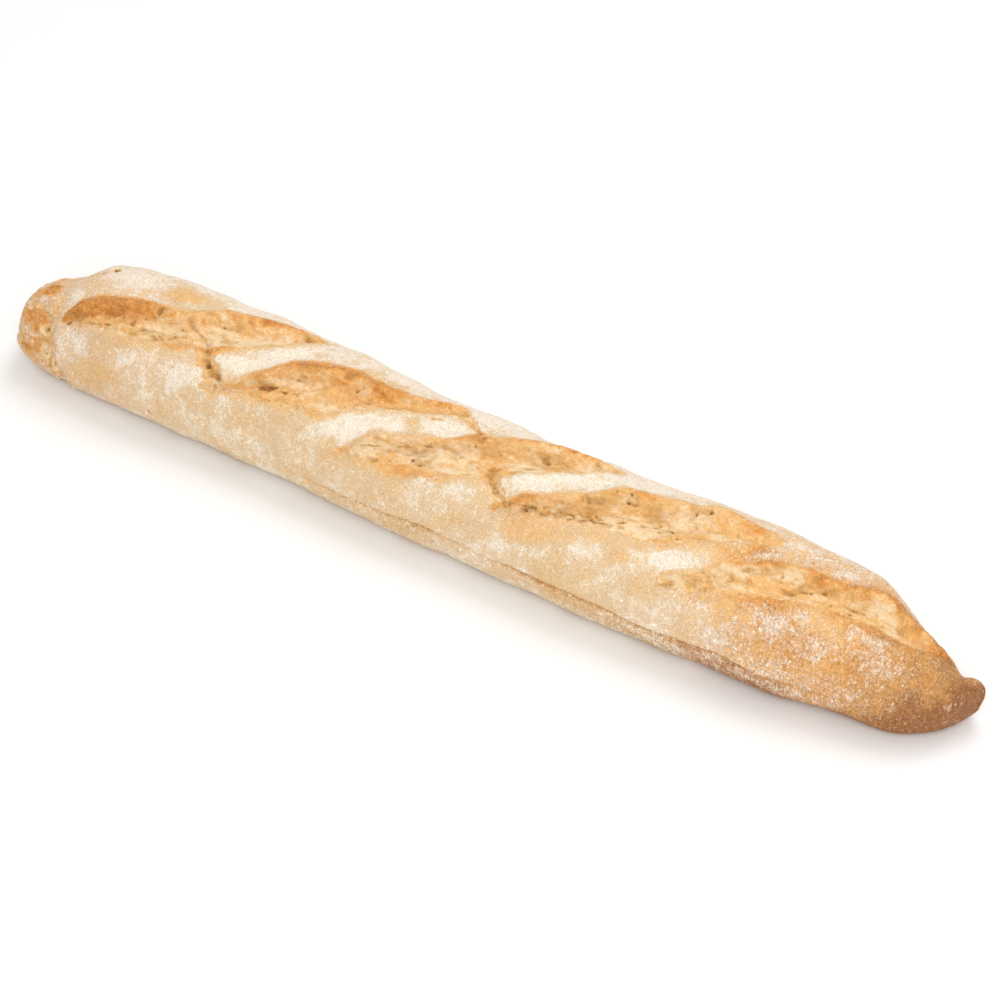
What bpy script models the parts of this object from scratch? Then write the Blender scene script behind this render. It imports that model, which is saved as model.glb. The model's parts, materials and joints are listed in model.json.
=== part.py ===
"""A rustic baguette: one floury scored loaf lying on its flat underside.

X runs along the loaf, from the blunt heel at -X to the pointed tip at +X. The
near side, towards which the scores open, is -Y, and Z is up. Lengths are in metres.
A place on the crust is given by its station, the distance from the heel, and by
its turn, the angle round the section: 0 degrees on the near side, 90 at the
crown, 180 on the far side and 270 underneath.
"""

import bpy
import numpy as np

MM = 0.001

# The whole loaf
LENGTH = 0.520
CROWN_PER_HALF_WIDTH = 1.50  # the crown's height over the half width
BELLY_SHARE = 0.42  # height of the widest line over the crown's height
CROWN_SQUARENESS = 2.2
FOOT_SQUARENESS = 3.0
FOOT_PRESSED_FLAT = 1.10  # the lower half reaches this much past the table, which presses it flat

# Half width and sideways bow of the loaf's centre line, at stations from the heel
HALF_WIDTHS = (
    (0.000, 47 * MM), (0.030, 37.5 * MM), (0.060, 37.5 * MM), (0.110, 36.5 * MM), (0.170, 36.5 * MM),
    (0.230, 35.5 * MM), (0.350, 36.5 * MM), (0.410, 37 * MM), (0.460, 34 * MM),
    (0.490, 32.5 * MM), (0.520, 34 * MM),
)
BOW = (
    (0.000, -8 * MM), (0.030, 0), (0.060, 4.5 * MM), (0.110, 5.5 * MM),
    (0.170, 4 * MM), (0.230, 0), (0.350, -2 * MM), (0.420, -1 * MM), (0.460, -1.5 * MM),
    (0.490, -6 * MM), (0.520, 0),
)

# How the two ends close: (length that closes, power along, root across)
HEEL_WIDTH_CLOSING = (0.101, 2.0, 2.0)
HEEL_CROWN_CLOSING = (0.059, 2.0, 2.0)
TIP_WIDTH_CLOSING = (0.082, 1.7, 1.6)
TIP_CROWN_CLOSING = (0.064, 1.8, 1.7)
HEEL_LIFT = (14 * MM, 30 * MM)  # how far the end curls off the table, and over what length
TIP_LIFT = (8 * MM, 45 * MM)
NIB = (8 * MM, 4 * MM, 11 * MM)  # the upturned nib at the tip: how far up, how far back, its length
NIB_SHARPNESS = 1.2

# The scores: a row of slanting slashes, each torn open into a lens with a raised ear
SCORE_COUNT = 5
FIRST_SCORE = 0.037
SCORE_PITCH = 0.0845
SCORE_LENGTH = 0.128
SCORE_SHIFTS = (0, -1 * MM, -3 * MM, -3 * MM, 0)  # each score's own step along the loaf
EAR_TURNS = ((0.0, 34), (0.06, 42), (0.14, 53), (0.25, 67), (0.36, 79), (0.46, 89),
             (0.60, 100), (0.75, 112), (0.88, 118), (1.0, 121))
FIRST_EAR_RISE = 12  # the first score starts blunt: its ear stands this many degrees higher there
BLUNT_SHARE = 0.30  # share of the first score over which its ear comes down to the others' line
LIP_TURNS = ((0.0, 31), (0.10, 28), (0.25, 35), (0.40, 45), (0.55, 51), (0.66, 61),
             (0.78, 77), (0.90, 92), (1.0, 112))
# Height of the crust across a score, from the near lip at 0 to the ear at 1
SCORE_PROFILE = ((-0.30, 0.0), (-0.06, 0.7 * MM), (0.06, 0.0), (0.25, -3.0 * MM), (0.45, -4.8 * MM),
                 (0.58, -6.0 * MM), (0.68, -4.8 * MM), (0.82, -0.9 * MM), (0.94, 2.4 * MM),
                 (1.03, 2.4 * MM), (1.20, 0.9 * MM), (1.45, 0.0))
FULL_SCORE_TURN = 44  # a score this wide has its full depth, and a narrower one less

# Tears between a score's lip and the next score: (station, turn) points
TEARS = (
    ((0.117, 60), (0.121, 46), (0.130, 38)),
    ((0.250, 108), (0.258, 101), (0.266, 91)),
    ((0.279, 58), (0.284, 50), (0.299, 42)),
    ((0.408, 92), (0.414, 86), (0.421, 80)),
)
TEAR_WIDTH = 2.6 * MM
TEAR_DEPTH = 2.4 * MM

# Burst bubbles in the scores: station, turn, half length, half width, depth
BUBBLES = (
    (0.062, 48, 5, 2.5, 1.8), (0.075, 57, 4, 2.5, 1.5), (0.084, 79, 3, 2, 2.0),
    (0.121, 45, 2.5, 3, 2.6), (0.155, 50, 6, 2.5, 3.0), (0.177, 75, 8, 6, 2.6),
    (0.196, 77, 7, 6, 2.6), (0.214, 84, 6, 2, 2.2), (0.216, 41, 5, 1.8, 2.2),
    (0.233, 56, 6, 1.8, 2.4), (0.266, 88, 4, 2.2, 2.8), (0.277, 92, 6, 5, 1.8),
    (0.294, 108, 4, 2.2, 2.6), (0.302, 46, 3, 2, 2.2), (0.319, 52, 8, 2.4, 2.4),
    (0.333, 63, 8, 2.6, 3.0), (0.327, 78, 4, 2, 2.2), (0.346, 95, 3, 2, 2.2),
    (0.360, 88, 9, 6, 1.8), (0.369, 77, 3.5, 2.5, 2.4), (0.411, 68, 6, 2, 2.2),
    (0.439, 87, 4, 2, 1.8), (0.459, 80, 4, 2, 2.0),
)
BUBBLE_SQUARENESS = 1.5

# The heel's fold: the crust laps over a smaller cap
FOLD_STATIONS = ((-20, 0.037), (0, 0.033), (30, 0.032), (62, 0.033), (95, 0.021), (130, 0.020),
                 (180, 0.026), (270, 0.034), (340, 0.037), (360, 0.033))
FOLD_WIDTH = 3.2 * MM
FOLD_DEPTH = 2.2 * MM
LAP_HEIGHT = 0.9 * MM
LAP_REACH = 14 * MM
CAP_CREASES = (20, 52, 150, 230)  # turns of the creases that run from the fold over the cap
CAP_CREASE_DEPTH = 1.5 * MM

# The crease that the tray leaves along both sides, above the foot
FOOT_CREASE_HEIGHTS = ((0.10, 16 * MM), (0.209, 17.5 * MM), (0.256, 20.5 * MM), (0.306, 19.5 * MM),
                       (0.330, 20.5 * MM), (0.372, 17.5 * MM), (0.412, 20 * MM), (0.433, 17.5 * MM),
                       (0.445, 18 * MM), (0.520, 15 * MM))
FOOT_CREASE_STRENGTH = ((0.16, 0.0), (0.22, 0.7), (0.262, 0.8), (0.285, 0.35), (0.308, 1.0),
                        (0.43, 1.0), (0.450, 0.5), (0.47, 0.0))
FOOT_CREASE_DEPTH = 1.5 * MM
FOOT_CREASE_WIDTH = 1.6 * MM
FAR_CREASE_SHARE = 0.7

# Low swellings of the crust: height, waves along the loaf, waves round it, phase
SWELLS = ((0.25 * MM, 5.0, 2.0, 0.7), (0.25 * MM, 11.0, 3.0, 2.1), (0.15 * MM, 19.0, 5.0, 4.0))

# Lumps of the crust and, where the height is negative, slumps:
# station, turn, half length, half width, height
LUMPS = (
    (0.041, 120, 5, 6, 2.4), (0.160, 135, 14, 14, -1.0), (0.222, 135, 16, 14, 1.4),
    (0.252, 135, 16, 14, -2.2), (0.300, 135, 14, 14, 0.8), (0.345, 135, 12, 14, -1.4),
    (0.405, 135, 16, 14, 0.6), (0.480, 125, 14, 18, -1.0),
)
LUMP_SQUARENESS = 1.0
END_FADE = 12 * MM  # all relief dies away this close to either end

# The mesh
RINGS = 440
SIDES = 208
KEPT_SHARE = 0.0605  # share of the sculpted triangles that the loaf keeps

# Finish of the crust
CRUST_COLOUR = (0.80, 0.62, 0.40, 1.0)
CRUST_ROUGHNESS = 0.85


def curve(points, at):
    """Value at a place of the smooth curve through (place, value) points, level past its ends."""
    places, values = np.array(points, float).T
    grades = np.diff(values) / np.diff(places)
    before, after = grades[:-1], grades[1:]
    same_way = before * after > 0
    # the harmonic mean keeps the curve from swinging past its points
    inner = 2 * before * after / np.where(same_way, before + after, 1)
    slopes = np.concatenate([grades[:1], np.where(same_way, inner, 0), grades[-1:]])
    at = np.clip(at, places[0], places[-1])
    left = np.clip(np.searchsorted(places, at, side="right") - 1, 0, len(places) - 2)
    span = places[left + 1] - places[left]
    t = (at - places[left]) / span
    rise = values[left + 1] - values[left]
    start = slopes[left] * span
    end = slopes[left + 1] * span
    return values[left] + t * start + t * t * (3 * rise - 2 * start - end) + t ** 3 * (start + end - 2 * rise)


def step(start, end, at):
    """Smooth rise from 0 at start to 1 at end."""
    t = np.clip((at - start) / (end - start), 0, 1)
    return t * t * (3 - 2 * t)


def closing(distance, length, power, root):
    """0 at the very end, 1 from the closing length on."""
    t = np.clip(distance / length, 0, 1)
    return (1 - (1 - t) ** power) ** (1 / root)


def half_width(station):
    """Half the loaf's width."""
    return (
        curve(HALF_WIDTHS, station)
        * closing(station, *HEEL_WIDTH_CLOSING)
        * closing(LENGTH - station, *TIP_WIDTH_CLOSING)
    )


def crown_height(station):
    """Height of the crown over the underside."""
    return (
        CROWN_PER_HALF_WIDTH
        * curve(HALF_WIDTHS, station)
        * closing(station, *HEEL_CROWN_CLOSING)
        * closing(LENGTH - station, *TIP_CROWN_CLOSING)
    )


def lift(station):
    """How far the ends curl off the table."""
    heel_rise, heel_length = HEEL_LIFT
    tip_rise, tip_length = TIP_LIFT
    heel = heel_rise * (1 - closing(station, heel_length, 2, 2))
    tip = tip_rise * (1 - closing(LENGTH - station, tip_length, 2, 2))
    return heel + tip


def section(station, turn):
    """Distance from the section's centre to the smooth loaf: round above, fuller below."""
    crown = crown_height(station)
    belly = BELLY_SHARE * crown
    above = np.sin(turn) >= 0
    height = np.where(above, crown - belly, FOOT_PRESSED_FLAT * belly)
    power = np.where(above, CROWN_SQUARENESS, FOOT_SQUARENESS)
    across = np.abs(np.cos(turn)) / half_width(station)
    upright = np.abs(np.sin(turn)) / height
    return (across ** power + upright ** power) ** (-1 / power)


def score_relief(station, degrees):
    """Slashes torn open: a floor that sinks from the lip, then a wall up to the ear."""
    relief = np.zeros_like(station)
    for number in range(SCORE_COUNT):
        start = FIRST_SCORE + number * SCORE_PITCH + SCORE_SHIFTS[number]
        share = (station - start) / SCORE_LENGTH
        ear = curve(EAR_TURNS, share)
        if number == 0:
            ear = ear + FIRST_EAR_RISE * (1 - step(0, BLUNT_SHARE, share))
        lip = curve(LIP_TURNS, share)
        across = (degrees - lip) / (ear - lip)
        depth = np.minimum((ear - lip) / FULL_SCORE_TURN, 1) ** 0.7
        ends = step(-0.04, 0.05, share) * (1 - step(0.95, 1.05, share))
        relief += curve(SCORE_PROFILE, across) * depth * ends
    return relief


def distance_to_line(x, y, start, end):
    """Distance in the plane from points to a straight stretch."""
    run_x = end[0] - start[0]
    run_y = end[1] - start[1]
    share = ((x - start[0]) * run_x + (y - start[1]) * run_y) / (run_x * run_x + run_y * run_y)
    share = np.clip(share, 0, 1)
    return np.hypot(x - start[0] - share * run_x, y - start[1] - share * run_y)


def tear_relief(station, degrees, arc_per_degree):
    """Narrow torn channels that join one score to the next."""
    relief = np.zeros_like(station)
    for points in TEARS:
        nearest = np.full_like(station, 1.0)
        for (here, here_turn), (there, there_turn) in zip(points, points[1:]):
            start = (here, 0.0)
            end = (there, (there_turn - here_turn) * arc_per_degree)
            round_crust = (degrees - here_turn) * arc_per_degree
            nearest = np.minimum(nearest, distance_to_line(station, round_crust, start, end))
        relief -= TEAR_DEPTH * np.exp(-((nearest / TEAR_WIDTH) ** 2))
    return relief


def mound_relief(mounds, squareness, station, degrees, round_radius):
    """Rounded mounds of (station, turn, half length, half width, height), lengths in millimetres."""
    relief = np.zeros_like(station)
    for centre, turn, half_length, half_breadth, height in mounds:
        along = (station - centre) / (half_length * MM)
        across = np.radians(degrees - turn) * round_radius / (half_breadth * MM)
        relief += height * MM * np.exp(-((along * along + across * across) ** squareness))
    return relief


def heel_relief(station, degrees):
    """The fold at the heel: a groove, the crust lapped up behind it and a creased cap before it."""
    fold = curve(FOLD_STATIONS, degrees)
    behind = station - fold
    groove = -FOLD_DEPTH * np.exp(-((behind / FOLD_WIDTH) ** 2))
    lap = LAP_HEIGHT * step(0, FOLD_WIDTH, behind) * (1 - step(FOLD_WIDTH, LAP_REACH, behind))
    on_cap = (1 - step(-FOLD_WIDTH, 0, behind)) * step(0, 8 * MM, station)
    creases = np.zeros_like(station)
    for turn in CAP_CREASES:
        creases -= CAP_CREASE_DEPTH * np.exp(-(((degrees - turn) / 7) ** 2))
    return groove + lap + creases * on_cap


def foot_relief(station, degrees, height):
    """The shallow crease along both sides just above the foot."""
    above = height - curve(FOOT_CREASE_HEIGHTS, station)
    strength = curve(FOOT_CREASE_STRENGTH, station)
    near = np.cos(np.radians(degrees)) > 0
    share = np.where(near, 1.0, FAR_CREASE_SHARE)
    return -FOOT_CREASE_DEPTH * share * strength * np.exp(-((above / FOOT_CREASE_WIDTH) ** 2))


def swell_relief(station, turn):
    """The low uneven swelling of a hand-shaped loaf."""
    relief = np.zeros_like(station)
    for height, along, around, phase in SWELLS:
        relief += height * np.sin(2 * np.pi * along * station / LENGTH + around * turn + phase)
    return relief


def crust_points(station, turn):
    """Points of the crust at stations and turns, standing on the table at Z = 0."""
    crown = crown_height(station)
    belly = BELLY_SHARE * crown
    smooth = section(station, turn)
    raised = lift(station)
    degrees = np.degrees(turn)
    round_radius = crown - belly
    height = belly + smooth * np.sin(turn) + raised
    relief = (
        score_relief(station, degrees)
        + tear_relief(station, degrees, np.radians(1) * round_radius)
        - mound_relief(BUBBLES, BUBBLE_SQUARENESS, station, degrees, round_radius)
        + mound_relief(LUMPS, LUMP_SQUARENESS, station, degrees, round_radius)
        + heel_relief(station, degrees)
        + foot_relief(station, degrees, height)
        + swell_relief(station, turn)
    )
    ends = step(0, END_FADE, station) * step(0, END_FADE, LENGTH - station)
    radius = smooth + relief * ends
    nib_up, nib_back, nib_length = NIB
    nib = np.clip(1 - (LENGTH - station) / nib_length, 0, 1) ** NIB_SHARPNESS
    y = curve(BOW, station) - radius * np.cos(turn) + nib_back * nib
    z = belly + radius * np.sin(turn) + raised + nib_up * nib * (1 + np.sin(turn)) / 2
    return station, y, np.maximum(z, 0)


def make_loaf(collection):
    """A fine sphere stretched to the loaf's length and pushed out to its crust."""
    bpy.ops.mesh.primitive_uv_sphere_add(segments=SIDES, ring_count=RINGS, radius=1.0)
    loaf = bpy.context.object
    loaf.name = "loaf"
    mesh = loaf.data
    mesh.name = "loaf"
    sphere = np.empty(len(mesh.vertices) * 3, np.float32)
    mesh.vertices.foreach_get("co", sphere)
    across, upright, along = sphere.reshape(-1, 3).astype(float).T
    station = np.clip((1 + along) / 2, 1e-6, 1 - 1e-6) * LENGTH
    turn = np.mod(np.arctan2(upright, -across), 2 * np.pi)
    x, y, z = crust_points(station, turn)
    x = x - (x.min() + x.max()) / 2
    y = y - (y.min() + y.max()) / 2
    z = z - z.min()
    mesh.vertices.foreach_set("co", np.stack([x, y, z], axis=1).astype(np.float32).ravel())
    mesh.update()
    for polygon in mesh.polygons:
        polygon.use_smooth = True
    thinning = loaf.modifiers.new("Thinning", "DECIMATE")
    thinning.ratio = KEPT_SHARE
    for holder in loaf.users_collection:
        holder.objects.unlink(loaf)
    collection.objects.link(loaf)
    return loaf


def make_crust_material():
    """Floury golden crust."""
    material = bpy.data.materials.new("crust")
    material.use_nodes = True
    shader = material.node_tree.nodes["Principled BSDF"]
    shader.inputs["Base Color"].default_value = CRUST_COLOUR
    shader.inputs["Roughness"].default_value = CRUST_ROUGHNESS
    shader.inputs["Metallic"].default_value = 0.0
    return material


def main():
    """Clears the scene and makes the baguette."""
    for thing in list(bpy.data.objects):
        bpy.data.objects.remove(thing, do_unlink=True)
    collection = bpy.data.collections.new("baguette")
    bpy.context.scene.collection.children.link(collection)
    loaf = make_loaf(collection)
    loaf.data.materials.append(make_crust_material())


main()
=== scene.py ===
"""A rustic baguette on a plain pale floor: a floury loaf with five torn scores and a crisp crust.

X runs along the loaf, from the blunt heel at -X to the pointed tip at +X. The near side, towards
which the scores open, is -Y, and Z is up. Lengths are in metres. A place on the crust is given by
its station, the distance from the heel, and by its turn, the angle round the section in degrees:
0 on the near side, 90 at the crown, 180 on the far side and 270 underneath.
"""

import json
import logging
import math
from dataclasses import dataclass, field
from enum import Enum

import bpy
import numpy as np
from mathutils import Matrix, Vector

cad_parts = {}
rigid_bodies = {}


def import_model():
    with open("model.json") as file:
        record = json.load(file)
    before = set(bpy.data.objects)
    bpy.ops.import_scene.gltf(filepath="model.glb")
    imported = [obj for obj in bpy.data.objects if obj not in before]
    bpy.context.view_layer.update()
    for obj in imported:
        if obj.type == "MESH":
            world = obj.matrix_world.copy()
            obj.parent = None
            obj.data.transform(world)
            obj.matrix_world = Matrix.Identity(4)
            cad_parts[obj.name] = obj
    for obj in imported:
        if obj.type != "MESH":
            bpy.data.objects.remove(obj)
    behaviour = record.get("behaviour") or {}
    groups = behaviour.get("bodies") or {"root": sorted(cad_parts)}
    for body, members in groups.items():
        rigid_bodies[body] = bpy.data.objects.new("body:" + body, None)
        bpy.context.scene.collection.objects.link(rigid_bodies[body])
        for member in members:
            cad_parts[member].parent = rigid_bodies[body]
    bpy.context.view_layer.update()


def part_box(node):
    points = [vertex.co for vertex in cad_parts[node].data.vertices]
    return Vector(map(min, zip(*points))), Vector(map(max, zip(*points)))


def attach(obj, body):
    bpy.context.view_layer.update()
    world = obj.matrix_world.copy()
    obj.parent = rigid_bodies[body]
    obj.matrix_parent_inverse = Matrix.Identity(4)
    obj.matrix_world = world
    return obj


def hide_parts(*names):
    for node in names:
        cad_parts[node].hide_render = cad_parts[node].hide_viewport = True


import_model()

MM = 0.001
LOAF_LENGTH = 0.520

Array = np.ndarray
Range = tuple[float, float]
Points = tuple[Range, ...]
Cell = tuple[int, int, int]
Closing = tuple[float, float, float]
Colour = tuple[float, float, float]
Socket = bpy.types.NodeSocket
Value = Socket | float
Paint = Socket | Colour

log = logging.getLogger("baguette")


# --------------------------------------------------------------------------- curves and patterns


def curve(points: Points, at: Array) -> Array:
    """Reads the smooth curve through a few points, level past its ends.

    Args:
        points: (place, value) points in order of place.
        at: The places to read.

    Returns:
        The value at each place.
    """
    places, values = np.array(points, float).T
    grades = np.diff(values) / np.diff(places)
    before, after = grades[:-1], grades[1:]
    same_way = before * after > 0
    inner = 2 * before * after / np.where(same_way, before + after, 1)
    slopes = np.concatenate([grades[:1], np.where(same_way, inner, 0), grades[-1:]])
    at = np.clip(at, places[0], places[-1])
    left = np.clip(np.searchsorted(places, at, side="right") - 1, 0, len(places) - 2)
    span = places[left + 1] - places[left]
    t = (at - places[left]) / span
    rise = values[left + 1] - values[left]
    start = slopes[left] * span
    end = slopes[left + 1] * span
    return values[left] + t * start + t * t * (3 * rise - 2 * start - end) + t**3 * (start + end - 2 * rise)


def step(start: float | Array, end: float | Array, at: Array) -> Array:
    """Rises smoothly from 0 at start to 1 at end.

    Args:
        start: Where the rise begins.
        end: Where it ends.
        at: The places to read.

    Returns:
        A value from 0 to 1 at each place.
    """
    t = np.clip((at - start) / (end - start), 0, 1)
    return t * t * (3 - 2 * t)


def peak(centre: float | Array, width: float | Array, at: Array) -> Array:
    """Rises to 1 at the centre and falls to about a third one width away."""
    return np.exp(-(((at - centre) / width) ** 2))


def blend(first: float | Array, second: float | Array, share: Array) -> Array:
    """Goes from the first value to the second as the share goes from 0 to 1."""
    return first + (second - first) * share


def slanted_spot(along: Array, around: Array, slant: float, half_sizes: Range, squareness: float) -> Array:
    """Rises to 1 inside a slanted oval spot and falls to a third at its edge.

    Args:
        along: Distances from the spot's centre along the loaf.
        around: Distances from it round the loaf.
        slant: How far the spot climbs from the loaf's length, in degrees.
        half_sizes: Half its length and half its width.
        squareness: How sharply it falls: 1 is soft, more is sharper.

    Returns:
        A value from 0 to 1 at each place.
    """
    lean = math.radians(slant)
    length = (along * math.cos(lean) + around * math.sin(lean)) / half_sizes[0]
    breadth = (around * math.cos(lean) - along * math.sin(lean)) / half_sizes[1]
    return np.exp(-((length**2 + breadth**2) ** squareness))


def closing(distance: Array, length: float, power: float, root: float) -> Array:
    """Closes an end of the loaf: 0 at the very end, 1 from the closing length on."""
    t = np.clip(distance / length, 0, 1)
    return (1 - (1 - t) ** power) ** (1 / root)


class Grain:
    """Seeded patterns in space, the same on each run and on any mesh.

    Places that are shifted by a plain number read a pattern of their own.
    """

    TABLE = 4096
    LAYER_SHIFT = 0.731
    LAYERED_LEVEL = 0.9
    FARTHEST = 9.0

    def __init__(self, seed: int) -> None:
        """Draws the tables of random values.

        Args:
            seed: The pattern's number.
        """
        rng = np.random.default_rng(seed)
        self.order = rng.permutation(self.TABLE)
        self.values = rng.uniform(-1, 1, self.TABLE)
        self.spots = rng.uniform(0.1, 0.9, (3, self.TABLE))

    def _lattice(self, scaled: Array, offsets: tuple[int, ...]) -> tuple[list[Array], dict[Cell, Array]]:
        """Finds the lattice cells round each point.

        Args:
            scaled: The three coordinates of the points, over the cell size.
            offsets: Which neighbours to take along each axis.

        Returns:
            The cells' coordinates, and each neighbour's place in the tables.
        """
        mask = self.TABLE - 1
        base = [np.floor(axis).astype(np.int32) for axis in scaled]
        keys = {}
        for i in offsets:
            first = self.order[(base[0] + i) & mask]
            for j in offsets:
                second = self.order[(first + base[1] + j) & mask]
                for k in offsets:
                    keys[i, j, k] = self.order[(second + base[2] + k) & mask]
        return base, keys

    def smooth(self, places: Array, size: float) -> Array:
        """Reads soft noise.

        Args:
            places: Points in space, one a row.
            size: The size of the noise's lumps.

        Returns:
            A value from -1 to 1 at each point.
        """
        scaled = (places / size).T
        base, keys = self._lattice(scaled, (0, 1))
        ease = [(axis - cell) ** 2 * (3 - 2 * (axis - cell)) for axis, cell in zip(scaled, base)]
        corner = {key: self.values[place] for key, place in keys.items()}
        edges = {(j, k): blend(corner[0, j, k], corner[1, j, k], ease[0]) for j in (0, 1) for k in (0, 1)}
        return blend(
            blend(edges[0, 0], edges[1, 0], ease[1]), blend(edges[0, 1], edges[1, 1], ease[1]), ease[2]
        )

    def layered(self, places: Array, size: float, layers: int = 3) -> Array:
        """Reads soft noise with finer noise on top.

        Args:
            places: Points in space, one a row.
            size: The size of the largest lumps.
            layers: How many times the size is halved, plus one.

        Returns:
            A value from about -1 to 1 at each point.
        """
        total = np.zeros(len(places))
        for layer in range(layers):
            total += self.smooth(places + layer * self.LAYER_SHIFT, size / 2**layer) / 2**layer
        return total * self.LAYERED_LEVEL

    def cells(self, places: Array, size: float) -> tuple[Array, Array, Array]:
        """Finds the nearest of the cell centres that are scattered through space.

        Args:
            places: Points in space, one a row.
            size: The mean distance of the cells.

        Returns:
            The distance to the nearest centre and to the next one, both over size, and a value
            from -1 to 1 that belongs to the nearest cell.
        """
        scaled = (places / size).T
        base, keys = self._lattice(scaled, (-1, 0, 1))
        within = [axis - cell for axis, cell in zip(scaled, base)]
        nearest = np.full(len(places), self.FARTHEST)
        second = np.full(len(places), self.FARTHEST)
        owner = np.zeros(len(places))
        for cell, key in keys.items():
            axes = zip(within, cell, self.spots[:, key])
            gap = sum((part - whole - spot) ** 2 for part, whole, spot in axes)
            closer = gap < nearest
            second = np.where(closer, nearest, np.minimum(second, gap))
            owner = np.where(closer, self.values[key], owner)
            nearest = np.minimum(nearest, gap)
        return np.sqrt(nearest), np.sqrt(second), owner


# --------------------------------------------------------------------------- the loaf's smooth form


@dataclass(frozen=True)
class LoafForm:
    """The loaf's body without its scores: a bowed, rounded bar pressed flat underneath."""

    length: float = LOAF_LENGTH
    crown_per_half_width: float = 1.50
    belly_share: float = 0.42
    crown_squareness: float = 2.2
    foot_squareness: float = 3.0
    foot_pressed_flat: float = 1.10
    half_widths: Points = (
        (0.000, 47 * MM), (0.030, 37.5 * MM), (0.060, 37.5 * MM), (0.110, 36.5 * MM),
        (0.170, 36.5 * MM), (0.230, 35.5 * MM), (0.350, 36.5 * MM), (0.410, 37 * MM),
        (0.460, 34 * MM), (0.490, 32.5 * MM), (0.520, 34 * MM),
    )
    bow: Points = (
        (0.000, -8 * MM), (0.030, 0), (0.060, 4.5 * MM), (0.110, 5.5 * MM), (0.170, 4 * MM),
        (0.230, 0), (0.350, -2 * MM), (0.420, -1 * MM), (0.460, -1.5 * MM), (0.490, -6 * MM),
        (0.520, 0),
    )
    heel_width_closing: Closing = (0.101, 2.0, 2.0)
    heel_crown_closing: Closing = (0.059, 2.0, 2.0)
    tip_width_closing: Closing = (0.082, 1.7, 1.6)
    tip_crown_closing: Closing = (0.064, 1.8, 1.7)
    heel_lift: float = 14 * MM
    heel_lift_closing: Closing = (30 * MM, 2, 2)
    tip_lift: float = 8 * MM
    tip_lift_closing: Closing = (45 * MM, 2, 2)
    nib_up: float = 8 * MM
    nib_back: float = 4 * MM
    nib_length: float = 11 * MM
    nib_sharpness: float = 1.2
    beak_rise: float = 2.2 * MM
    beak_turn: float = 100
    beak_spread: float = 42
    beak_length: float = 15 * MM
    beak_edge: float = 0.4 * MM
    beak_sharpness: float = 1.5
    nib_undercut: Points = (
        (0, 2.6 * MM), (60, 1.6 * MM), (105, 0.2 * MM), (125, 1.0 * MM), (145, 1.6 * MM), (200, 1.8 * MM),
        (270, 2.4 * MM), (320, 2.8 * MM), (360, 2.6 * MM),
    )
    nib_undercut_length: float = 20 * MM
    heel_undercut: Points = (
        (0, 0.6 * MM), (12, 2.2 * MM), (40, 2.2 * MM), (75, 0.6 * MM), (110, 0.0), (250, 0.6 * MM),
        (300, 2.6 * MM), (328, 2.2 * MM), (346, 0.4 * MM), (354, 0.0), (360, 0.6 * MM),
    )
    heel_undercut_length: float = 24 * MM
    undercut_sharpness: float = 1.5

    def half_width(self, station: Array) -> Array:
        """Gives half the loaf's width at each station."""
        return (
            curve(self.half_widths, station)
            * closing(station, *self.heel_width_closing)
            * closing(self.length - station, *self.tip_width_closing)
        )

    def crown_height(self, station: Array) -> Array:
        """Gives the crown's height over the underside at each station."""
        return (
            self.crown_per_half_width
            * curve(self.half_widths, station)
            * closing(station, *self.heel_crown_closing)
            * closing(self.length - station, *self.tip_crown_closing)
        )

    def lift(self, station: Array) -> Array:
        """Gives how far the ends curl off the floor at each station."""
        heel = self.heel_lift * (1 - closing(station, *self.heel_lift_closing))
        return heel + self.tip_lift * (1 - closing(self.length - station, *self.tip_lift_closing))

    def radius(self, station: Array, turn: Array) -> Array:
        """Measures from the section's centre to the smooth crust.

        Args:
            station: Distances from the heel.
            turn: Turns in radians.

        Returns:
            The distance in each direction.
        """
        crown = self.crown_height(station)
        belly = self.belly_share * crown
        above = np.sin(turn) >= 0
        height = np.where(above, crown - belly, self.foot_pressed_flat * belly)
        power = np.where(above, self.crown_squareness, self.foot_squareness)
        across = np.abs(np.cos(turn)) / self.half_width(station)
        upright = np.abs(np.sin(turn)) / height
        return (across**power + upright**power) ** (-1 / power)

    def beak(self, station: Array, turn: Array) -> Array:
        """Draws the top of the nib out into a corner, as a distance to add to the radius.

        Args:
            station: Distances from the heel.
            turn: Turns in radians.

        Returns:
            How far the corner stands out.
        """
        back = self.length - station
        behind_edge = 1 - step(self.beak_edge, self.beak_length, back)
        along = step(0, self.beak_edge, back) * behind_edge**self.beak_sharpness
        return self.beak_rise * along * peak(self.beak_turn, self.beak_spread, np.degrees(turn))

    def place(self, station: Array, turn: Array, radius: Array) -> Array:
        """Puts points at their place in space, before the loaf is centred.

        Args:
            station: Distances from the heel.
            turn: Turns in radians.
            radius: Distances from the section's centre.

        Returns:
            One point a row.
        """
        belly = self.belly_share * self.crown_height(station)
        nib = np.clip(1 - (self.length - station) / self.nib_length, 0, 1) ** self.nib_sharpness
        y = curve(self.bow, station) - radius * np.cos(turn) + self.nib_back * nib
        z = belly + radius * np.sin(turn) + self.lift(station)
        z = z + self.nib_up * nib * (1 + np.sin(turn)) / 2
        degrees = np.degrees(turn) % 360
        near_tip = np.clip(1 - (self.length - station) / self.nib_undercut_length, 0, 1)
        near_heel = np.clip(1 - station / self.heel_undercut_length, 0, 1)
        x = station - curve(self.nib_undercut, degrees) * near_tip**self.undercut_sharpness
        x = x + curve(self.heel_undercut, degrees) * near_heel**self.undercut_sharpness
        return np.stack([x, y, np.maximum(z, 0)], axis=1)


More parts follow.
